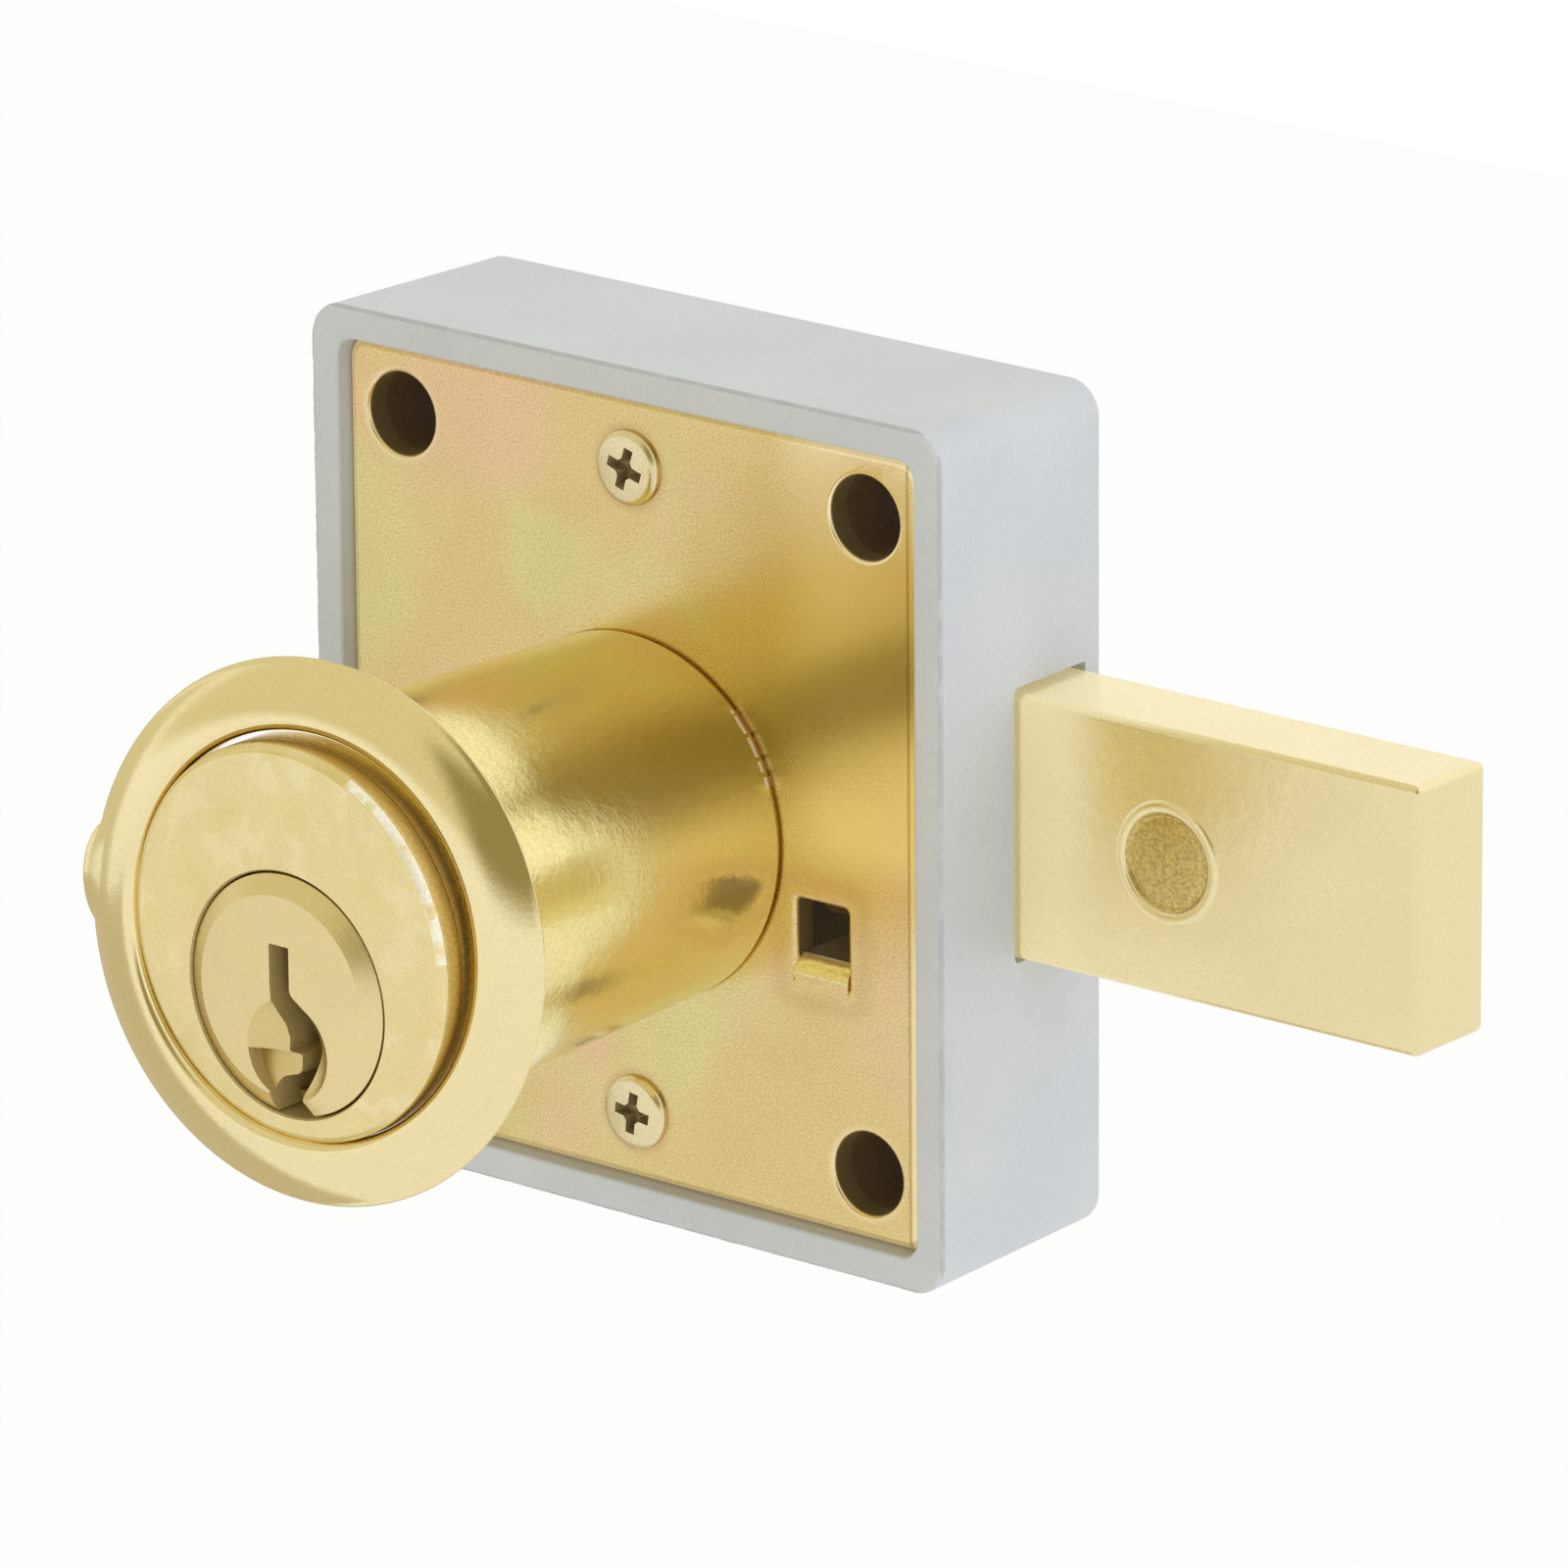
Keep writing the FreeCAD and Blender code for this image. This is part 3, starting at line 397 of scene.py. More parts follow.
def makeTurnTree():
    # turns a closed line of (radius, depth) points about Y, with one soft bulge on its outer edge
    inputs = {"Turns": "Int", "Outer Radius": "Float", "Bulge Angle": "Float", "Bulge Height": "Float",
              "Bulge Half Width": "Float", "Body": "Material"}
    t, given, out = growTree("turnedRing", inputs)
    count = t.add("GeometryNodeAttributeDomainSize", {"Geometry": given["Geometry"]}).outputs["Point Count"]
    rows = t.maths("ADD", count, 1.0)
    columns = t.maths("ADD", given["Turns"], 1.0)
    size = {"Size X": 1.0, "Size Y": 1.0, "Vertices X": columns, "Vertices Y": rows}
    grid = t.add("GeometryNodeMeshGrid", size).outputs[0]
    index = t.add("GeometryNodeInputIndex").outputs[0]
    column = t.maths("FLOOR", t.maths("DIVIDE", t.maths("ADD", index, 0.5), rows))
    row = t.maths("MODULO", t.maths("SUBTRACT", index, t.maths("MULTIPLY", column, rows)), count)
    place = t.add("GeometryNodeInputPosition").outputs[0]
    point = t.add("GeometryNodeSampleIndex", {"Geometry": given["Geometry"], "Value": place, "Index": row},
                  data_type="FLOAT_VECTOR").outputs["Value"]
    radius, depth, _ = t.add("ShaderNodeSeparateXYZ", {0: point}).outputs
    angle = t.maths("DIVIDE", t.maths("MULTIPLY", column, 2 * math.pi), given["Turns"])
    around = t.maths("WRAP", t.maths("SUBTRACT", angle, given["Bulge Angle"]), math.pi, -math.pi)
    across = t.maths("DIVIDE", t.maths("MULTIPLY", around, given["Outer Radius"]), given["Bulge Half Width"])
    share = t.maths("SUBTRACT", 1.0, t.maths("MULTIPLY", across, across))
    share = t.maths("POWER", t.maths("MAXIMUM", share, 0.0), 0.8)
    inner = t.maths("SUBTRACT", given["Outer Radius"], mm)
    edge = t.ramp(radius, inner, given["Outer Radius"], kind="LINEAR")
    bulge = t.maths("MULTIPLY", t.maths("MULTIPLY", given["Bulge Height"], share), edge)
    reach = t.maths("ADD", radius, bulge)
    right = t.maths("MULTIPLY", reach, t.maths("COSINE", angle))
    up = t.maths("MULTIPLY", reach, t.maths("SINE", angle))
    turned = t.add("ShaderNodeCombineXYZ", {0: right, 1: depth, 2: up}).outputs[0]
    moved = t.add("GeometryNodeSetPosition", {"Geometry": grid, "Position": turned}).outputs[0]
    closed = t.add("GeometryNodeMergeByDistance", {"Geometry": moved, "Distance": 1e-6}).outputs[0]
    whole = t.add("GeometryNodeRealizeInstances", {0: closed}).outputs[0]
    t.tree.links.new(paintAll(t, whole, given["Body"]), out[0])
    return t.tree


rowTree, cornerTree, turnTree = makeRowTree(), makeCornerTree(), makeTurnTree()


def inRow(piece, count, start, step, turns=(0.0, 0.0), body=None, recess=None):
    values = {"Piece": piece, "Count": count, "Body": body, "Recess": recess,
              "Start": [v * mm for v in start], "Step": [v * mm for v in step],
              "First Turn": math.radians(turns[0]), "Turn Step": math.radians(turns[1])}
    made = grow(piece.name + "Row", rowTree, values)
    bpy.data.objects.remove(piece)
    return made


def atCorners(piece, halfX, halfZ):
    values = {"Piece": piece, "Half Width": halfX * mm, "Half Height": halfZ * mm}
    made = grow(piece.name + "Set", cornerTree, values)
    bpy.data.objects.remove(piece)
    return made


def dress(piece, body, slotName, materials, *nodes):
    piece.data.transform(Matrix.Translation((0, -rimDepth * mm, 0)))
    for material in materials:
        piece.data.materials.append(material)
    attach(piece, body)
    if nodes:
        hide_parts(*nodes)
    return piece


def corners(x, z):
    return [(-x, -z), (x, -z), (x, z), (-x, z)]


# materials

def makeGrain():
    # fine tooth and shallow unevenness of a cast or plated skin
    inputs = {"Vector": "Vector", "Fine": "Float", "Broad": "Float", "Share": "Float"}
    t, given, out = namedTree("fineGrain", inputs, {"Height": "Float", "Mask": "Float"})
    fine = t.noise(given["Vector"], given["Fine"], 2.0, 0.6)
    broad = t.noise(given["Vector"], given["Broad"], 2.0, 0.5)
    both = t.add("ShaderNodeMix", {0: given["Share"], 2: fine, 3: broad}).outputs[0]
    t.tree.links.new(both, out["Height"])
    t.tree.links.new(t.ramp(fine, 0.35, 0.68), out["Mask"])
    return t.tree


def makeSpots():
    # scattered small pits or specks, thick or thin by the amount
    inputs = {"Vector": "Vector", "Scale": "Float", "Amount": "Float"}
    t, given, out = namedTree("specks", inputs, {"Mask": "Float"})
    cell = t.add("ShaderNodeTexVoronoi", {"Vector": given["Vector"], "Scale": given["Scale"]})
    spread = t.noise(given["Vector"], t.maths("MULTIPLY", given["Scale"], 0.21), 2.0)
    dots = t.ramp(cell.outputs["Distance"], 0.12, 0.36, 1.0, 0.0)
    limit = t.maths("SUBTRACT", 1.0, given["Amount"])
    keep = t.ramp(spread, t.maths("SUBTRACT", limit, 0.08), t.maths("ADD", limit, 0.08))
    t.tree.links.new(t.maths("MULTIPLY", dots, keep), out["Mask"])
    return t.tree


def makeTint():
    # slow drift between a base colour and two tints
    inputs = {"Vector": "Vector", "Scale": "Float", "Base": "Color", "First": "Color", "Second": "Color",
              "Amount": "Float"}
    t, given, out = namedTree("colourDrift", inputs, {"Color": "Color"})
    one = t.noise(given["Vector"], given["Scale"], 2.0, 0.5, 0.6)
    aside = {0: given["Vector"], 1: (0.31, 0.17, 0.43)}
    moved = t.add("ShaderNodeVectorMath", aside, operation="ADD").outputs[0]
    two = t.noise(moved, given["Scale"], 2.0, 0.5, 0.6)
    first = t.maths("MULTIPLY", t.ramp(one, 0.48, 0.66), given["Amount"])
    second = t.maths("MULTIPLY", t.ramp(two, 0.50, 0.68), given["Amount"])
    tinted = t.mix(first, given["Base"], given["First"])
    t.tree.links.new(t.mix(second, tinted, given["Second"]), out["Color"])
    return t.tree


grainGroup, specksGroup, tintGroup = makeGrain(), makeSpots(), makeTint()


def newMaterial(name):
    material = bpy.data.materials.new(name)
    material.use_nodes = True
    t = Tree(material.node_tree)
    t.tree.nodes.clear()
    shader = t.add("ShaderNodeBsdfPrincipled")
    t.add("ShaderNodeOutputMaterial", {"Surface": shader.outputs[0]})
    place = t.add("ShaderNodeTexCoord").outputs["Object"]
    return material, t, shader, place


def useGroup(t, tree, values):
    made = t.add("ShaderNodeGroup", node_tree=tree)
    t.fill(made, values)
    return made.outputs


def glowInReflections(t, shader, colour, strength):
    # lifts a surface only where glossy metal mirrors it
    glossy = t.add("ShaderNodeLightPath").outputs["Is Glossy Ray"]
    t.tree.links.new(t.mix(glossy, (0, 0, 0), colour), shader.inputs["Emission Color"])
    shader.inputs["Emission Strength"].default_value = strength


def lengthAcross(t, right, up):
    flat = t.add("ShaderNodeCombineXYZ", {0: right, 1: up}).outputs[0]
    return t.add("ShaderNodeVectorMath", {0: flat}, operation="LENGTH").outputs["Value"]


metalSet = {
    "toothTone": 0.55, "speckTone": 0.5, "speckShare": 0.5,   # how dark against the metal's own colour
    "speckScale": 0.35, "waveScale": 1300.0, "ringScale": 5200.0, "wearScale": 140.0,
    "wear": 0.04, "toothWear": 0.05,   # change of roughness
}


def metal(name, colour, rough, grain, drift=None, dark=0.12, specks=0.0, bump=0.02, wave=0.0, turned=None,
          metallic=1.0, mirrored=None):
    # plated or bare metal: fine tooth in its gloss, drifting colour, faint specks, waves and turning marks
    m = metalSet
    material, t, shader, place = newMaterial(name)
    shader.inputs["Metallic"].default_value = metallic
    fine, broad, share = grain
    tooth = useGroup(t, grainGroup, {"Vector": place, "Fine": fine, "Broad": broad, "Share": share})
    base = colour
    if drift:
        tints = {"Vector": place, "Scale": drift["scale"], "Amount": drift["amount"], "Base": (*colour, 1),
                 "First": (*drift["first"], 1), "Second": (*drift["second"], 1)}
        base = useGroup(t, tintGroup, tints)["Color"]
    shaded = t.mix(t.maths("MULTIPLY", tooth["Mask"], dark), base, [c * m["toothTone"] for c in colour])
    if specks:
        spread = {"Vector": place, "Scale": fine * m["speckScale"], "Amount": specks}
        spots = t.maths("MULTIPLY", useGroup(t, specksGroup, spread)["Mask"], m["speckShare"])
        shaded = t.mix(spots, shaded, [c * m["speckTone"] for c in colour])
    height = t.maths("MULTIPLY", tooth["Height"], bump)
    if wave:   # slow unevenness of a rolled or plated skin
        slow = t.noise(place, m["waveScale"], 1.0)
        height = t.maths("ADD", height, t.maths("MULTIPLY", slow, wave))
    if turned:   # fine rings left by the lathe: their axis (x, z) and depth
        axisX, axisZ, depth = turned
        x, _, z = t.add("ShaderNodeSeparateXYZ", {0: place}).outputs
        radius = lengthAcross(t, t.maths("SUBTRACT", x, axisX * mm), t.maths("SUBTRACT", z, axisZ * mm))
        values = {"W": radius, "Scale": m["ringScale"], "Detail": 2.0}
        rings = t.add("ShaderNodeTexNoise", values, noise_dimensions="1D").outputs["Fac"]
        height = t.maths("ADD", height, t.maths("MULTIPLY", rings, depth))
    t.tree.links.new(shaded, shader.inputs["Base Color"])
    wear = t.ramp(t.noise(place, m["wearScale"]), 0.3, 0.7, rough - m["wear"], rough + m["wear"])
    gloss = t.maths("ADD", wear, t.maths("MULTIPLY", tooth["Mask"], m["toothWear"]))
    t.tree.links.new(gloss, shader.inputs["Roughness"])
    relief = t.add("ShaderNodeBump", {"Height": height, "Strength": 1.0, "Distance": mm})
    t.tree.links.new(relief.outputs[0], shader.inputs["Normal"])
    if mirrored:
        glowInReflections(t, shader, *mirrored)
    return material


paintSet = {
    "deep": (0.572, 0.605, 0.660), "pale": (0.608, 0.637, 0.683), "tooth": (0.47, 0.49, 0.53),
    "thin": (0.30, 0.31, 0.34), "thinScale": 620.0, "rough": 0.42, "specular": 0.35, "glow": 0.38,
    "fine": 2600.0, "broad": 500.0, "share": 0.45,
}


def makePaint(name, worn):
    # satin paint, worn thin and dark along a sharp edge, and brighter in the brass's reflections
    p = paintSet
    material, t, shader, place = newMaterial(name)
    grain = {"Vector": place, "Fine": p["fine"], "Broad": p["broad"], "Share": p["share"]}
    tooth = useGroup(t, grainGroup, grain)
    cloud = t.ramp(t.noise(place, 90.0, 2.0), 0.35, 0.65)
    base = t.mix(cloud, p["deep"], p["pale"])
    base = t.mix(t.maths("MULTIPLY", tooth["Mask"], 0.10), base, p["tooth"])
    thin = t.maths("MULTIPLY", t.ramp(t.noise(place, p["thinScale"]), 0.14, 0.60), worn)
    t.tree.links.new(t.mix(thin, base, p["thin"]), shader.inputs["Base Color"])
    glowInReflections(t, shader, (1, 1, 1), p["glow"])
    shader.inputs["Roughness"].default_value = p["rough"]
    shader.inputs["Specular IOR Level"].default_value = p["specular"]
    relief = t.add("ShaderNodeBump", {"Height": tooth["Height"], "Strength": 1.0, "Distance": 0.05 * mm})
    t.tree.links.new(relief.outputs[0], shader.inputs["Normal"])
    return material


paint, thinPaint = makePaint("satinGreyPaint", 0.0), makePaint("thinEdgePaint", 0.42)

# a metal's grain is its fine scale, its broad scale and the broad one's share
coarse = (4200.0, 900.0, 0.3)
plain = (5200.0, 900.0, 0.3)
fineTurned = (6000.0, 900.0, 0.3)
drawn = (4000.0, 500.0, 0.4)
opening = ((0.85, 0.62, 0.28), 0.27)   # glow of what shows through the openings, as the barrel mirrors it
sheetDrift = {"scale": 75.0, "first": (0.84, 0.59, 0.335), "second": (0.77, 0.68, 0.31), "amount": 0.95}
faceDrift = {"scale": 420.0, "first": (0.91, 0.79, 0.46), "second": (0.81, 0.67, 0.31), "amount": 0.6}
# tints of the painted highlight on the core's chamfer
highlightDrift = {"scale": 900.0, "first": (0.84, 0.68, 0.30), "second": (0.97, 0.90, 0.66), "amount": 0.9}

# the case's bare inside, coloured very dark, partly painted shade
inside = metal("bareInside", (0.10, 0.055, 0.018), 0.6, (3000.0, 400.0, 0.5),
               dark=0.4, metallic=0.2, mirrored=opening)
chromate = metal("yellowChromate", (0.79, 0.605, 0.27), 0.22, (7000.0, 2600.0, 0.08), sheetDrift,
                 dark=0.42, specks=0.08, bump=0.006)
# cut walls and the back of the sheet, duller and darkened, partly painted shade
shearedWall = metal("shearedWall", (0.125, 0.09, 0.032), 0.5, (4200.0, 900.0, 0.4),
                    dark=0.3, metallic=0.3, mirrored=opening)
# the barrel inside the ring, darkened as painted shade
shadedBarrelBrass = metal("shadedEdge", (0.70, 0.54, 0.22), 0.26, coarse, dark=0.3, metallic=0.9)
# the core's flange side, darkened as painted shade
shadedFlangeBrass = metal("flangeSide", (0.66, 0.48, 0.17), 0.28, coarse, dark=0.3)
# a painted highlight on part of the core's chamfer, near white and half metallic
brightEdge = metal("brightEdge", (0.99, 0.95, 0.82), 0.28, (5200.0, 1800.0, 0.5), highlightDrift,
                   dark=0.25, bump=0.03, metallic=0.35)
# the folded tongue's roll, paler as a painted highlight
foldHighlight = metal("foldedTongue", (0.90, 0.79, 0.46), 0.20, plain, dark=0.3, wave=0.03)
# the barrel's lifted lip, pale and half metallic as a painted highlight
lipHighlight = metal("liftedLip", (0.97, 0.80, 0.62), 0.3, coarse, dark=0.2, metallic=0.4)
faceBrass = metal("satinBrass", (0.84, 0.70, 0.35), 0.25, (5600.0, 900.0, 0.3), faceDrift,
                  dark=0.14, specks=0.05, bump=0.006, wave=0.004)
plugBrass = metal("turnedBrass", (0.80, 0.66, 0.34), 0.24, fineTurned,
                  dark=0.10, bump=0.005, turned=(0, -4.1, 0.0035))
# the plug's bowl, darker as painted shade
bowlBrass = metal("bowlBrass", (0.72, 0.57, 0.26), 0.32, fineTurned, bump=0.006)
# broached walls and bores, duller and darkened, partly painted shade
broachedBrass = metal("broachedBrass", (0.56, 0.43, 0.18), 0.5, coarse, dark=0.3, metallic=0.3)
barrelBrass = metal("platedBarrel", (0.90, 0.78, 0.355), 0.175, (4600.0, 1500.0, 0.3),
                    dark=0.18, bump=0.014, wave=0.014)
ringBrass = metal("polishedBrass", (0.87, 0.745, 0.42), 0.11, plain, dark=0.10, bump=0.004, wave=0.004)
boltBrass = metal("satinBolt", (0.86, 0.745, 0.43), 0.26, (6200.0, 700.0, 0.3),
                  specks=0.05, bump=0.007, wave=0.012)
# the bolt's inner part, darkened as painted shade
hiddenBrass = metal("hiddenBrass", (0.42, 0.28, 0.11), 0.6, (4200.0, 700.0, 0.3),
                    dark=0.3, metallic=0.2, mirrored=opening)
markBrass = metal("pittedMark", (0.68, 0.52, 0.19), 0.30, (4200.0, 1500.0, 0.5),
                  dark=0.75, specks=0.3, bump=0.05)
screwBrass = metal("paleScrew", (0.80, 0.69, 0.42), 0.22, plain, dark=0.14, bump=0.006, wave=0.01)
# the screws' cross recess, darkened as painted shade
recessShade = metal("screwRecess", (0.42, 0.33, 0.16), 0.4, plain, dark=0.3, metallic=0.6)
innerSteel = metal("innerSteel", (0.50, 0.41, 0.26), 0.35, drawn, dark=0.2, mirrored=opening)
pinBrass = metal("pinBrass", (0.78, 0.62, 0.30), 0.28, drawn, dark=0.15)
springSteel = metal("springWire", (0.60, 0.59, 0.57), 0.25, drawn, dark=0.15)


plateMarkSet = {
    "window": ((13.33, -6.15), (1.83, 2.35)),   # centre and half size of the window, in mm
    "screwZ": 18.65, "holeX": 16.5, "holeZ": 18.75,
    # the colours below are a darker, pinker halo round the window, which round the screws is painted shade,
    # and a paler ring round each corner hole, which is a painted highlight
    "darkHalo": (0.55, 0.35, 0.17), "holeHighlight": (0.93, 0.82, 0.55),
    # the colours below are a painted shadow line and a painted highlight along the plate's right edge
    "edgeShadow": (0.40, 0.29, 0.12), "edgeHighlight": (0.93, 0.80, 0.48),
    # the first colour below is painted light towards the right; the second is the darker colour of a painted
    # reflection of the barrel
    "pale": (0.95, 0.79, 0.50), "reflectedDark": (0.60, 0.50, 0.30),
    "streakRise": 25.0, "streakPlace": 1.455,   # degrees from level, and mm above the origin square to it
}


def paintPlateLightAndMarks(material):
    # painted light and marks on the sheet: darker and pinker round its window and screws, where round the
    # screws this is painted shade, with painted highlights round its corner holes and along its right edge, a
    # painted shadow line by that edge, painted light towards the right and a painted reflection of the barrel
    # across it
    s = plateMarkSet
    t = Tree(material.node_tree)
    shader, place = t.first("BSDF_PRINCIPLED"), t.first("TEX_COORD").outputs["Object"]
    x, _, z = t.add("ShaderNodeSeparateXYZ", {0: place}).outputs

    def away(centre, half=(0, 0)):   # distance outside a rectangle or, with no half size, from a point
        sides = []
        for value, middle, reach in zip((x, z), centre, half):
            offset = t.maths("ABSOLUTE", t.maths("SUBTRACT", value, middle * mm))
            sides.append(t.maths("MAXIMUM", t.maths("SUBTRACT", offset, reach * mm), 0.0))
        return lengthAcross(t, *sides)

    def spread(value, low, high, start=0.0, end=1.0):   # a ramp over millimetres
        return t.ramp(value, low * mm, high * mm, start, end)

    def strongest(masks):
        whole = masks[0]
        for mask in masks[1:]:
            whole = t.maths("MAXIMUM", whole, mask)
        return whole

    # painted light: paler towards the right, with a darker streak running up across it that is a painted
    # reflection of the barrel; less so in the barrel's reflections
    glossy = t.add("ShaderNodeLightPath").outputs["Is Glossy Ray"]
    pale = t.maths("MULTIPLY", spread(x, 9, 15), spread(z, -3, 0.5))
    pale = t.maths("MULTIPLY", t.maths("MULTIPLY_ADD", glossy, -0.65, 1.0), pale)
    rise = math.radians(s["streakRise"])
    height = t.maths("MULTIPLY_ADD", z, math.cos(rise), -s["streakPlace"] * mm)
    streak = t.maths("ABSOLUTE", t.maths("MULTIPLY_ADD", x, -math.sin(rise), height))
    base = shader.inputs["Base Color"].links[0].from_socket
    base = t.mix(t.maths("MULTIPLY", pale, spread(streak, 0.8, 3.2, 0.36, 0.8)), base, s["pale"])
    base = t.mix(t.maths("MULTIPLY", pale, spread(streak, 0.8, 3.2, 0.3, 0)), base, s["reflectedDark"])
    # a painted shadow line and a painted highlight along the right edge
    edgeShadow = t.maths("MULTIPLY", spread(x, 19.36, 19.46), spread(x, 19.56, 19.64, 0.6, 0))
    base = t.mix(edgeShadow, base, s["edgeShadow"])
    base = t.mix(spread(x, 19.58, 19.68, 0, 0.6), base, s["edgeHighlight"])
    ragged = t.maths("MULTIPLY", t.maths("SUBTRACT", t.noise(place, 900.0), 0.5), 1.4 * mm)
    window = t.maths("ADD", away(*s["window"]), ragged)
    # darker and pinker round the window; round the screws the same darkening is painted shade
    halos = [t.maths("MULTIPLY", spread(window, 0.2, 1.0), spread(window, 1.0, 2.4, 0.32, 0))]
    for screwZ in (-s["screwZ"], s["screwZ"]):
        edge = t.maths("ADD", away((0, screwZ)), t.maths("MULTIPLY", ragged, 0.3))
        halos.append(spread(edge, 2.1, 2.8, 0.55, 0))
    # a paler ring round each corner hole, a painted highlight on its rolled edge
    holeHighlights = [spread(away(centre), 2.35, 2.95, 0.5, 0) for centre in corners(s["holeX"], s["holeZ"])]
    base = t.mix(strongest(holeHighlights), t.mix(strongest(halos), base, s["darkHalo"]), s["holeHighlight"])
    t.tree.links.new(base, shader.inputs["Base Color"])


paintPlateLightAndMarks(chromate)
print("materials ready")

for node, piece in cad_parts.items():
    chosen = innerSteel
    if "pin" in node and node != "crank_pin":
        chosen = pinBrass
    if "spring" in node:
        chosen = springSteel
    piece.data.materials.clear()
    piece.data.materials.append(chosen)


# case

caseSet = {
    "halfX": 22.4, "halfZ": 24.6, "depth": 14.5, "draft": 0.304, "corner": 2.1, "tightCorner": 0.45,
    "rim": 1.9, "plateBack": 2.3, "ledge": 0.8, "floor": 13.0,
    "rimRound": 0.22, "innerRound": 0.2, "backRound": 0.45, "floorRound": 0.3,
    "holeX": 16.5, "holeZ": 18.75, "hole": 2.4, "sink": 4.3, "post": 4.0,
    "bossZ": 18.65, "boss": 2.3, "pilot": 1.23, "pilotDeep": 9.3,
    "ribX": (-20.2, 6.3), "ribFront": 7.0, "ribZ": (-8.5, -7.0),
    "slotX": (18.5, 24.0), "slotY": (6.55, 12.98), "slotZ": (-6.95, 8.8), "slotRounds": (0.35, 0.2),
}


def facesOf(piece):   # each face with its middle, in mm
    return [(face, face.center / mm) for face in piece.data.polygons]


def outFrom(middle, axis):   # how far a point is from an axis along Y
    return math.hypot(middle.x - axis[0], middle.z - axis[1])


def atBosses(piece, *given):   # one piece at each plate screw
    z = caseSet["bossZ"]
    return inRow(piece, 2, (0, 0, -z), (0, 0, 2 * z), *given)


def roundBar(name, radius, low, high, turns):
    return lathe(name, [(low, 0), (low, radius), (high, radius), (high, 0)], turns=turns, closed=False)


def makeCase():
    c = caseSet
    inner = c["rim"] + c["ledge"]
    path = roundedPath([
        (2.4, c["depth"]), (c["draft"], c["depth"], c["backRound"]), (0, 0, c["rimRound"]),
        (c["rim"], 0, c["innerRound"]), (c["rim"], c["plateBack"]), (inner, c["plateBack"]),
        (inner, c["floor"], c["floorRound"]), (inner + 1.2, c["floor"])], closed=False)

    def corner(inset):
        return max(c["corner"] - 0.5 * inset, c["tightCorner"])

    def uneven(point, inset):   # the paint builds up unevenly along the rim
        edge = math.exp(-(point.y / 0.5) ** 2) * math.exp(-(inset / 0.5) ** 2)
        wave = noise.noise(point * 1.1) * 0.5 + noise.noise(point * 2.9 + Vector((7, 3, 1))) * 0.9
        return Vector((0, 0.07 * edge * wave, 0))

    case = loft("case_shell", path, c["halfX"], c["halfZ"], corner, arc=14, side=200, move=uneven)
    low, deep = c["plateBack"], c["floor"] + 0.5
    post = roundBar("post", c["post"], low, deep, 64)
    boss = roundBar("boss", c["boss"], low, deep, 48)
    (x0, x1), (z0, z1) = c["ribX"], c["ribZ"]
    rib = box("rib", (x0, c["ribFront"], z0), (x1, c["floor"] + 0.4, z1))
    combine(case, [atCorners(post, c["holeX"], c["holeZ"]), atBosses(boss), rib], "UNION")
    sinkStart, beyond = c["depth"] - c["sink"] + c["hole"], c["depth"] + 0.5
    profile = [(1.0, 0), (1.0, c["hole"]), (sinkStart, c["hole"]), (beyond, c["sink"] + 0.5), (beyond, 0)]
    hole = lathe("hole", profile, turns=72, closed=False)
    pilot = roundBar("pilot", c["pilot"], 1.0, c["pilotDeep"], 36)
    holes = [atCorners(hole, c["holeX"], c["holeZ"]), atBosses(pilot)]
    (y0, y1), (z0, z1), (front, back) = c["slotY"], c["slotZ"], c["slotRounds"]
    slot = roundedPath([(y0, z0, front), (y1, z0, back), (y1, z1, back), (y0, z1, front)])
    holes.append(prism("boltSlot", slot, *c["slotX"], "X"))
    combine(case, holes)
    shade(case)
    for face, middle in facesOf(case):   # only the outside and the rim are painted
        outward = max(abs(middle.x) - c["halfX"], abs(middle.z) - c["halfZ"])
        # the cavity faces are bare metal coloured very dark, partly painted shade
        bare = c["plateBack"] - 0.6 < middle.y <= c["depth"] - 1.9 and outward < 0.05 - inner
        edge = middle.y < 0.21 and outward > -0.2
        face.material_index = 2 if edge else 1 if bare else 0
    return dress(case, "case", "painted_case", [paint, inside, thinPaint], "case")


makeCase()
print("case ready")


# front plate

barrelAxis = (0, -1.3)
plateSet = {
    "front": 0.8, "thick": 1.5, "halfX": 20.35, "halfZ": 22.55, "corner": 1.05,
    "edge": 0.5, "backEdge": 0.1, "holeEdge": 0.22, "sharpEdge": 0.05,
    "hole": 2.4, "screwHole": 1.26, "barrelHole": 8.23,
    "windowX": (11.5, 15.16), "windowZ": (-8.5, -3.8), "windowEdge": 0.34, "windowCorner": 0.3,
    "tongueTop": -7.1, "tongueThick": 1.2, "foldRound": 1.05, "reach": 8.4,
}
rolled = [math.radians(15 * k) for k in range(1, 7)]   # the angles round a rolled edge


def rolledHole(name, radius, edge, axis=(0, 0), turns=96):
    # a cutter for a round hole whose front edge is rolled over
    front, back = plateSet["front"], plateSet["front"] + plateSet["thick"]
    rim = [(front - 0.3, 0), (front - 0.3, radius + edge + 0.3), (front, radius + edge)]
    arc = [(front + edge - edge * math.cos(a), radius + edge - edge * math.sin(a)) for a in rolled]
    return lathe(name, rim + arc + [(back + 0.5, radius), (back + 0.5, 0)], axis, turns, closed=False)


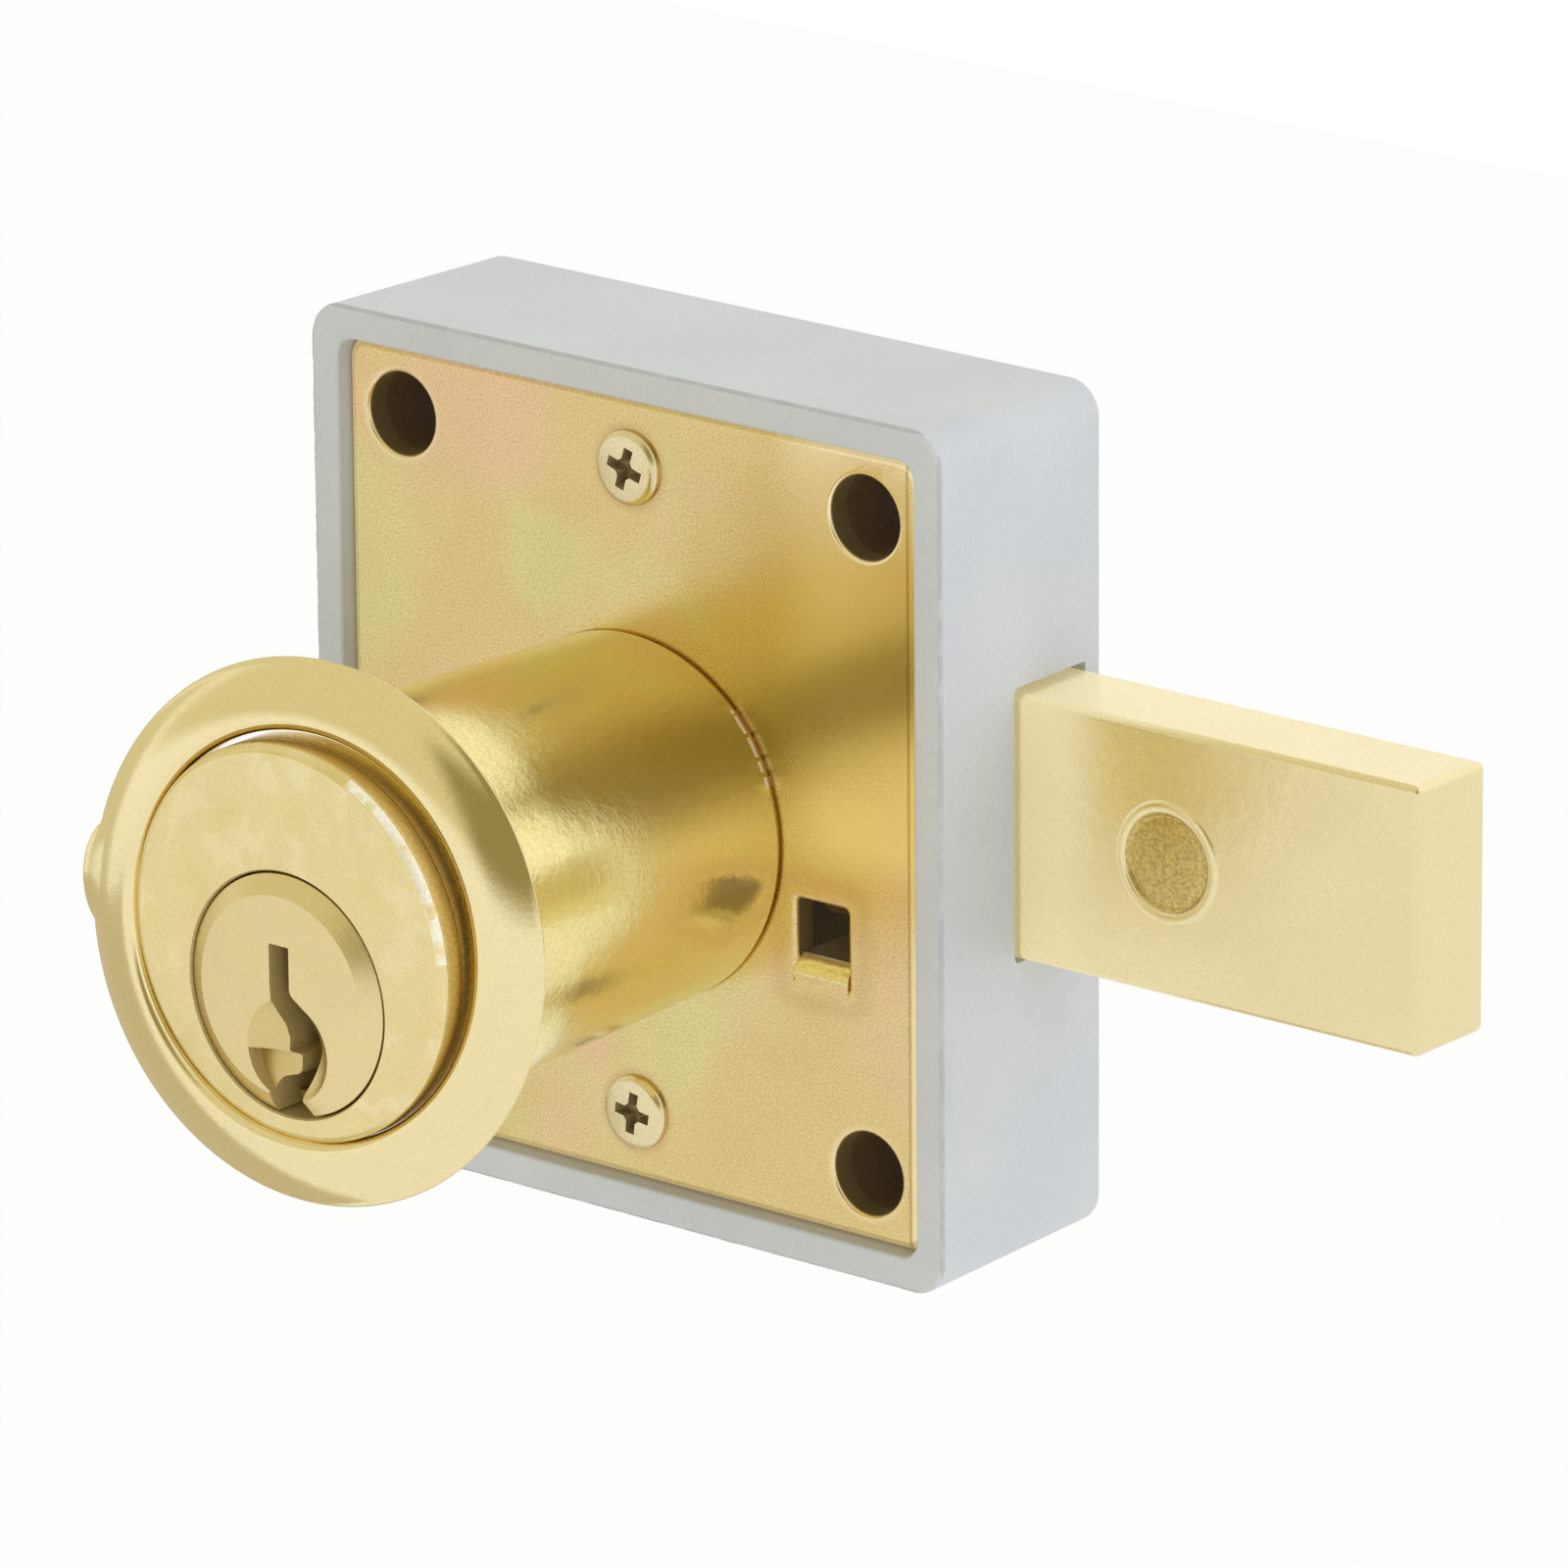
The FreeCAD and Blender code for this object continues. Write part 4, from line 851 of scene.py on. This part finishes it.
def makePlate():
    p = plateSet
    front, back = p["front"], p["front"] + p["thick"]
    section = [(1.5, front), (0, front, p["edge"]), (0, back, p["backEdge"]), (1.5, back)]
    path = roundedPath(section, closed=False)
    plate = loft("front_sheet", path, p["halfX"], p["halfZ"], p["corner"], arc=10, side=40)
    hole = rolledHole("plateHole", p["hole"], p["holeEdge"])
    screwHole = rolledHole("screwHole", p["screwHole"], p["sharpEdge"], turns=48)
    cutters = [atCorners(hole, caseSet["holeX"], caseSet["holeZ"]), atBosses(screwHole)]
    cutters.append(rolledHole("barrelHole", p["barrelHole"], p["sharpEdge"], barrelAxis, 128))
    (x0, x1), (z0, z1) = p["windowX"], p["windowZ"]
    e = p["windowEdge"]
    path = [(-e - 0.3, front - 0.3), (-e, front)]
    path += [(-e + e * math.sin(a), front + e - e * math.cos(a)) for a in rolled]
    path.append((0, back + 0.5))
    centre = ((x0 + x1) / 2, (z0 + z1) / 2)
    cutters.append(loft("window", path, (x1 - x0) / 2, (z1 - z0) / 2, lambda inset: p["windowCorner"] - inset,
                        centre, arc=5))
    combine(plate, cutters)
    # the tongue is folded in from the window's lower edge
    top, low = p["tongueTop"], p["tongueTop"] - p["tongueThick"]
    fold = roundedPath([
        (front - 0.03, low - 0.45, 0.4), (front - 0.03, top, p["foldRound"]),
        (p["reach"], top, 0.2), (p["reach"], low, 0.2), (back - 0.2, low),
        (back - 0.2, low - 0.8), (front + 0.02, low - 0.8)], step=12)
    combine(plate, [prism("tongue", fold, x0 - 0.03, x1 + 0.03, "X")], "UNION")
    shade(plate)
    for face, middle in facesOf(plate):   # sheared walls are duller and darker than the face, partly painted shade, and the fold is paler as a painted highlight
        inward = min(p["halfX"] - abs(middle.x), p["halfZ"] - abs(middle.z))
        sheared = middle.y > front + 0.4 and inward > 0.3
        folded = x0 < middle.x < x1 and top - 1.3 < middle.z < top + 0.05 and middle.y < front + 0.9
        face.material_index = 2 if folded else 1 if sheared else 0
    return dress(plate, "case", "chromated_plate", [chromate, shearedWall, foldHighlight], "front_plate")


makePlate()
print("front plate ready")


# screws

screwSet = {
    "head": 2.15, "proud": 0.48, "round": 0.22, "turns": (8.0, 17.0), "shank": 1.2, "long": 8.0,
    "span": 1.32, "slot": 0.34, "deep": 0.75, "taper": 0.7, "pit": 0.62, "pitDeep": 1.5,
}


def makeScrews():
    s = screwSet
    seat = plateSet["front"]
    front = seat - s["proud"]
    tip = seat + s["long"]
    profile = roundedPath([
        (front - 0.05, 0), (front + 0.03, s["head"] - 0.3, 0.4), (front + 0.26, s["head"], s["round"]),
        (seat, s["head"]), (seat, s["shank"]), (tip, s["shank"]), (tip, 0)], closed=False)
    screw = lathe("crossScrew", profile, (0, 0), 96, closed=False)
    tools = []
    for quarter in (0, 90):
        turn = Matrix.Rotation(math.radians(quarter), 3, "Y")

        def build(work, turn=turn):
            ends = []
            for y, share in ((front - 0.3, 1), (front + s["deep"], s["taper"])):
                places = [turn @ Vector((x, 0, z)) + Vector((0, y, 0))
                          for x, z in corners(s["span"] * share, s["slot"] * share)]
                ends.append([work.verts.new(place * mm) for place in places])
            bridgeCapped(work, ends)
        tools.append(meshObject("cross", build))
    pit = [(front - 0.3, 0), (front - 0.3, s["pit"]), (front, s["pit"] - 0.02), (front + s["pitDeep"], 0)]
    tools.append(lathe("crossPit", pit, (0, 0), 32, closed=False))
    combine(screw, tools)
    # the recess faces take a darker material, painted shade
    recess = screw.data.attributes.new("recess", "BOOLEAN", "FACE")
    for (_, middle), mark in zip(facesOf(screw), recess.data):
        mark.value = outFrom(middle, (0, 0)) < s["span"] + 0.05 and front + 0.12 < middle.y < tip - 0.1
    low, high = s["turns"]
    pair = atBosses(screw, (low, high - low), screwBrass, recessShade)
    pair.name = pair.data.name = "cross_screws"
    shade(pair)
    return dress(pair, "case", "screw_brass", [], "plate_screws")


makeScrews()
print("screws ready")


# cylinder core, barrel and plug

barrelSet = {
    "axis": barrelAxis, "radius": 11.1, "foot": 10.5, "front": -28.15, "chamfer": 0.4, "chamferDeep": 0.5,
    "flange": -26.55, "bore": 9.95, "landBack": -16.7, "undercut": 0.26,
    "back": 0.78, "rows": 44, "covered": -25.6, "burrAngle": 32.0, "burrSpan": 16.0, "burrHigh": 0.1,
}
coreSet = {
    "back": 0.8, "neck": 8.2, "neckEnd": 3.7, "ledge": 2.05, "play": 0.05, "tailHole": 3.65,
    "chamber": 1.45, "chamberLong": 9.0, "firstChamber": (5.1, 4.0), "chamberStep": 3.9,
    # the angles where the chamfer gets a painted highlight
    "highlightAngles": (6, 66),
}
plugSet = {
    "axis": (0, -4.1), "head": 6.76, "bore": 6.87, "proud": 0.52, "chamfer": 1.08, "chamferDeep": 0.62,
    "headEnd": 2.0, "shaft": 6.1, "end": -2.95, "tail": 3.6, "tailEnd": 4.0,
    "bowl": (-0.03, -3.2, 2.85, 0.85), "facetTop": -3.55, "facetDeep": (1.15, 0.4), "shift": (0.44, 0.25),
    "square": 2.3, "squareY": (3.9, 5.6), "squareTurn": -48.59,
}
# the keyway's outline about the plug's axis, with the round at each corner
keyway = [
    (-1.2, 2.68, 0.08), (0.2, 2.68, 0.08), (0.2, 0.05, 0.6), (1.35, -0.72, 0.7), (2.05, -1.7, 0.8),
    (2.2, -2.7, 0.6), (1.95, -3.4, 0.6), (1.4, -4.6, 0.8), (0.9, -5.6, 0.5), (1.2, -6.4, 0.4), (1.5, -7.2, 0),
    (-1.2, -7.2, 0), (-1.42, -6.5, 0.4), (-1.28, -5.4, 0.5), (-0.9, -4.96, 0.25), (0.1, -4.66, 0.2),
    (0.4, -4.2, 0.2), (0.32, -3.52, 0.12), (-0.58, -3.52, 0.15), (-0.5, -2.8, 0.6), (-0.66, -2.0, 0.8),
    (-1.0, -1.3, 0.6), (-1.12, -0.65, 0.5), (-1.2, 0.3, 0.8),
]


def makeCore():
    b, p, c = barrelSet, plugSet, coreSet
    front, inner = b["front"], b["bore"] - 0.03
    path = roundedPath([
        (front, 0), (front, b["radius"] - b["chamfer"], 0.45), (front + b["chamferDeep"], b["radius"], 0.45),
        (b["flange"], b["radius"], 0.05), (b["flange"], inner), (c["back"], inner), (c["back"], c["neck"]),
        (c["neckEnd"], c["neck"]), (c["neckEnd"], 0)], closed=False, step=15)
    core = lathe("cylinder_face", path, b["axis"], 256, closed=False)
    ledge, shaft, end = front + c["ledge"], p["shaft"] + c["play"], p["end"] + c["play"]
    bore = roundedPath([
        (front - 0.5, 0), (front - 0.5, p["bore"] + 0.5), (front + 0.12, p["bore"], 0.05),
        (ledge, p["bore"]), (ledge, shaft), (end, shaft), (end, c["tailHole"]),
        (4.5, c["tailHole"]), (4.5, 0)], closed=False, step=15)
    tools = [lathe("plugBore", bore, p["axis"], 192, closed=False)]
    first, height = c["firstChamber"]

    def build(work):
        place = Matrix.Translation(Vector((0, front + first, height)) * mm)
        bmesh.ops.create_cone(work, cap_ends=True, segments=32, radius1=c["chamber"] * mm,
                              radius2=c["chamber"] * mm, depth=c["chamberLong"] * mm, matrix=place)
    tools.append(inRow(meshObject("chamber", build), 5, (0, 0, 0), (0, c["chamberStep"], 0)))
    combine(core, tools)
    shade(core)
    # the bore is duller and darker, partly painted shade, the flange's side is painted dark as shade, and
    # part of its chamfer is painted bright as a highlight with a scratchy grain
    fromAngle, toAngle = c["highlightAngles"]
    for face, middle in facesOf(core):
        inBore = outFrom(middle, p["axis"]) < p["bore"] + 0.14
        out = outFrom(middle, b["axis"])
        around = math.degrees(math.atan2(middle.z - b["axis"][1], middle.x - b["axis"][0]))
        deep = middle.y - front
        if inBore and (deep > 0.15 or face.normal.y > -0.97):
            face.material_index = 1
        elif out > b["radius"] - 0.04 and deep > b["chamferDeep"]:
            face.material_index = 2
        elif out > b["radius"] - b["chamfer"] and deep > 0.01 and fromAngle < around < toAngle:
            face.material_index = 3
    metals = [faceBrass, broachedBrass, shadedFlangeBrass, brightEdge]
    return dress(core, "case", "brass_face", metals, "cylinder_core")


def makeBarrel():
    b = barrelSet
    back = b["back"]
    spread = back - 0.5 - b["flange"]
    rows = [b["flange"] + 0.02 + spread * k / b["rows"] for k in range(b["rows"] + 1)] + [0.38, 0.48, 0.53]

    def radius(y):
        share = max(0.0, (y - b["landBack"]) / (rimDepth - b["landBack"]))
        return b["radius"] + (b["foot"] - b["radius"]) * share

    def burr(angle, y, out):   # a thin raised lip along part of the foot
        if out < b["bore"] + 0.1 or y < 0.2:
            return 0
        around = (math.degrees(angle) - b["burrAngle"]) / b["burrSpan"]
        wave = 0.6 + noise.noise(Vector((math.degrees(angle) * 0.21, 2.0, 5.0)))
        return b["burrHigh"] * max(0.0, 1 - around * around) * max(0.0, wave) if abs(around) < 1 else 0

    foot = radius(0.5)
    end = [(0.57, foot - 0.06), (0.6, foot - b["undercut"]), (back, foot - b["undercut"]), (back, b["bore"])]
    path = [(rows[0], b["bore"])] + [(y, radius(y)) for y in rows] + end
    barrel = lathe("barrel_tube", path, b["axis"], 512, shift=burr)
    shade(barrel, 40)
    for face, middle in facesOf(barrel):   # the part inside the ring is painted darker as shade, and the lip is paler as a painted highlight
        around = math.degrees(math.atan2(middle.z - b["axis"][1], middle.x))
        along = middle.y > 0.3 and abs(around - b["burrAngle"]) < 14
        lip = along and noise.noise(Vector((around * 0.4, 1, 1))) > -0.1
        face.material_index = 1 if middle.y < b["covered"] else 2 if lip else 0
    return dress(barrel, "case", "plated_barrel", [barrelBrass, shadedBarrelBrass, lipHighlight], "barrel_sleeve")


def makePlug():
    p = plugSet
    front, headEnd = barrelSet["front"] - p["proud"], barrelSet["front"] + p["headEnd"]
    path = roundedPath([
        (front, 0), (front, p["head"] - p["chamfer"], 0.12), (front + p["chamferDeep"], p["head"], 0.1),
        (headEnd, p["head"]), (headEnd, p["shaft"]), (p["end"], p["shaft"]), (p["end"], p["tail"]),
        (p["tailEnd"], p["tail"]), (p["tailEnd"], 0)], closed=False, step=6)
    plug = lathe("plug_face", path, p["axis"], 224, closed=False)
    x0, z0 = [a + s for a, s in zip(p["axis"], p["shift"])]
    outline = roundedPath([(x0 + x, z0 + z, r) for x, z, r in keyway], step=12)
    bx, bz, radius, deep = p["bowl"]
    tools = [prism("keywayTool", outline, front - 0.5, front + 22.0)]
    dish = [(front + deep * (1 - (1 - k / 14) ** 2) ** 0.85, radius * (1 - k / 14)) for k in range(15)]
    dish = [(front - 0.5, 0), (front - 0.5, radius + 0.1), (front - 0.02, radius + 0.1)] + dish
    tools.append(lathe("bowlTool", dish, (x0 + bx, z0 + bz), 96, closed=False))
    # a sloping facet inside the bowl's circle, cut deeper at its top
    facetTop, facetLow = z0 + p["facetTop"], z0 + bz - radius
    topDeep, lowDeep = p["facetDeep"]
    slope = [(front - 0.5, facetLow), (front - 0.5, facetTop), (front + topDeep, facetTop),
             (front + lowDeep, facetLow)]
    facet = prism("facetTool", slope, x0 - 3.2, x0 + 0.3, "X")
    profile = [(front - 0.4, 0), (front - 0.4, radius - 0.02), (front + 3, radius - 0.02), (front + 3, 0)]
    limit = lathe("facetLimit", profile, (x0 + bx, z0 + bz), 96, closed=False)
    tools.append(combine(facet, [limit], "INTERSECT"))
    tail = [(round(x, 4), round(z, 4)) for x, z in corners(p["square"], p["square"])]
    turn = Matrix.Rotation(math.radians(p["squareTurn"]), 2)
    square = [tuple(turn @ Vector(point) + Vector(p["axis"])) for point in tail]
    combine(plug, [prism("square", square, *p["squareY"])], "UNION")
    combine(plug, tools)
    shade(plug)
    for face, place in facesOf(plug):   # the broached walls are duller and darker, partly painted shade, and the bowl is a little darker as painted shade
        middle, n = place - Vector((p["axis"][0], 0, p["axis"][1])), face.normal
        out = math.hypot(middle.x, middle.z)
        radial = (middle.x * n.x + middle.z * n.z) / max(out, 0.01)
        wall = abs(n.y) < 0.25 and middle.y > front + 0.05 and radial < 0.9 and out < p["head"]
        wall = wall or (out < 5.5 and middle.y > front + 2)
        bowl = outFrom(place, (x0 + bx, z0 + bz)) < radius + 0.01 and middle.y > front + 0.02
        face.material_index = 1 if wall else 2 if bowl else 0
    return dress(plug, "plug", "brass_face", [plugBrass, broachedBrass, bowlBrass], "plug")


makeCore()
makeBarrel()
makePlug()
print("cylinder ready")


# ring

ringSet = {
    "place": (0.12, -25.7, -1.15), "tilt": 6.25, "tiltAxis": 131.0, "outer": 15.05, "bore": 11.25,
    "roll": 0.55, "rise": 1.6, "slopes": (7.0, 40.0), "edge": 0.22, "shell": 0.75,
    "nubAngle": 177.0, "nubHigh": 0.75, "nubHalf": 2.7,
}


def makeRing():
    # a tight lip and a band that curves back to a thin edge, hung a little aslant on the barrel
    r = ringSet
    outer, roll, rise = r["outer"], r["roll"], r["rise"]
    crest = r["bore"] + roll
    quarter = [math.radians(k * 9) for k in range(11)]
    front = [(roll * (1 - math.sin(a)) - rise, crest - roll * math.cos(a)) for a in quarter]
    first, last = r["slopes"]
    steps = 28
    y, radius = front[-1]
    wide = (outer - r["edge"] - radius) / steps
    for k in range(steps):
        y += wide * math.tan(math.radians(first + (last - first) * (k + 0.5) / steps))
        radius += wide
        front.append((y, radius))
    hollow = r["shell"] - rise
    behind = roundedPath([
        front[-1], (y + 0.12, outer, 0.13), (0, outer, 0.08), (-0.05, outer - 0.3, 0.05),
        (-0.35, outer - 0.9, 0.2), (hollow, crest + 1.3, 0.5), (hollow, crest + 0.5, 0.2),
        (0, crest + 0.45, 0.1), (0, r["bore"], 0.15), front[0]], closed=False, step=9)
    path = front + behind[1:-1]

    line = bpy.data.meshes.new("cover_ring")
    line.from_pydata([(radius * mm, y * mm, 0) for y, radius in path], [], [])
    ring = bpy.data.objects.new("cover_ring", line)
    scene.collection.objects.link(ring)
    grow("cover_ring", turnTree, {
        "Turns": 384, "Outer Radius": outer * mm, "Bulge Angle": math.radians(r["nubAngle"]),
        "Bulge Height": r["nubHigh"] * mm, "Bulge Half Width": r["nubHalf"] * mm, "Body": ringBrass}, ring)
    toward = math.radians(r["tiltAxis"])
    turn = Matrix.Rotation(math.radians(r["tilt"]), 4, Vector((math.cos(toward), 0, math.sin(toward))))
    work = bmesh.new()
    work.from_mesh(ring.data)
    work.transform(Matrix.Translation(Vector(r["place"]) * mm) @ turn)
    bmesh.ops.recalc_face_normals(work, faces=work.faces)
    work.to_mesh(ring.data)
    work.free()
    shade(ring, 40)
    return dress(ring, "ring", "ring_brass", [], "escutcheon_ring")


makeRing()
print("ring ready")


# bolt

boltSet = {
    "front": 6.8, "back": 12.8, "low": -6.75, "high": 8.45, "end": 49.4, "edge": 0.45, "inner": 20.0,
    "wideX": (8.5, 19.3), "wideTop": 14.4, "forkX": (11.37, 15.63), "forkFoot": 6.11,
    "mark": (32.5, 0.85), "markOut": 3.55, "markIn": 2.72,
}


def makeBolt():
    b = boltSet
    (x0, x3), (x1, x2), top, foot = b["wideX"], b["forkX"], b["wideTop"], b["forkFoot"]
    outline = [(x0, b["low"]), (b["end"], b["low"]), (b["end"], b["high"]), (x3, b["high"]), (x3, top),
               (x2, top), (x2, foot), (x1, foot), (x1, top), (x0, top)]
    bolt = prism("bolt_bar", outline, b["front"], b["back"])
    change = bolt.modifiers.new("edges", "BEVEL")
    change.width = b["edge"] * mm
    change.segments = 7
    change.limit_method = "ANGLE"
    settle(bolt)
    y, out, core = b["front"], b["markOut"], b["markIn"]
    bead = roundedPath([
        (y + 0.6, 0), (y + 0.6, out - 0.02), (y, out + 0.1, 0.3), (y - 0.13, out - 0.3, 0.3),
        (y - 0.10, core + 0.2, 0.2), (y + 0.2, core, 0.1), (y + 0.2, 0)], closed=False, step=12)
    combine(bolt, [lathe("markBead", bead, b["mark"], 96, closed=False)], "UNION")
    hollow = roundedPath([
        (y - 0.6, 0), (y - 0.6, core + 0.25), (y - 0.02, core + 0.12, 0.1),
        (y + 0.22, core - 0.12, 0.15), (y + 0.16, core - 0.6, 0.3), (y + 0.10, 0)], closed=False, step=12)
    combine(bolt, [lathe("markHollow", hollow, b["mark"], 96, closed=False)])
    # one more edge line round the bar, where its inner part, painted dark as shade, starts
    divide = bmesh.new()
    divide.from_mesh(bolt.data)
    everything = divide.verts[:] + divide.edges[:] + divide.faces[:]
    bmesh.ops.bisect_plane(divide, geom=everything, dist=1e-7, plane_co=(b["inner"] * mm, 0, 0),
                           plane_no=(1, 0, 0))
    divide.to_mesh(bolt.data)
    divide.free()
    shade(bolt)
    for face, middle in facesOf(bolt):
        disc = outFrom(middle, b["mark"]) < core + 0.02 and y + 0.04 < middle.y < y + 0.3
        face.material_index = 1 if middle.x < b["inner"] else 2 if disc else 0
    return dress(bolt, "bolt", "bolt_brass", [boltBrass, hiddenBrass, markBrass], "bolt")


makeBolt()
print("bolt ready")


# floor

floorSet = {
    "half": 0.62, "level": -0.16,   # metres
    "white": 0.93, "golden": (0.62, 0.56, 0.42),
    "goldenFrom": (-140, -110), "goldenTo": (-50, -46),   # degrees from straight ahead, seen from the lock
}


def makeFloor():
    # white to the camera, with a painted golden reflection at the left that only the metal's reflections see
    f = floorSet

    def build(work):
        bmesh.ops.create_grid(work, x_segments=1, y_segments=1, size=f["half"])
    floor = meshObject("studio_floor", build)
    floor.data.transform(Matrix.Translation((0, 0, f["level"])))
    material, t, shader, place = newMaterial("paleFloor")
    shader.inputs["Base Color"].default_value = (f["white"], f["white"], f["white"], 1)
    shader.inputs["Roughness"].default_value = 0.8
    shader.inputs["Specular IOR Level"].default_value = 0.1
    x, y, _ = t.add("ShaderNodeSeparateXYZ", {0: place}).outputs
    side = t.maths("DEGREES", t.maths("ARCTAN2", x, t.maths("MULTIPLY", y, -1.0)))
    rays = t.add("ShaderNodeLightPath").outputs
    left = t.maths("MULTIPLY", t.ramp(side, *f["goldenTo"], 1, 0), t.ramp(side, *f["goldenFrom"]))
    seen = t.mix(t.maths("MULTIPLY", left, rays["Is Glossy Ray"]), (1, 1, 1), f["golden"])
    glow = t.add("ShaderNodeEmission", {"Color": seen, "Strength": 1.0})
    direct = t.maths("MAXIMUM", rays["Is Camera Ray"], rays["Is Glossy Ray"])
    white = t.maths("MULTIPLY", direct, f["white"])
    both = t.add("ShaderNodeMixShader", {0: white, 1: shader.outputs[0], 2: glow.outputs[0]})
    t.tree.links.new(both.outputs[0], t.first("OUTPUT_MATERIAL").inputs["Surface"])
    floor.data.materials.append(material)


makeFloor()
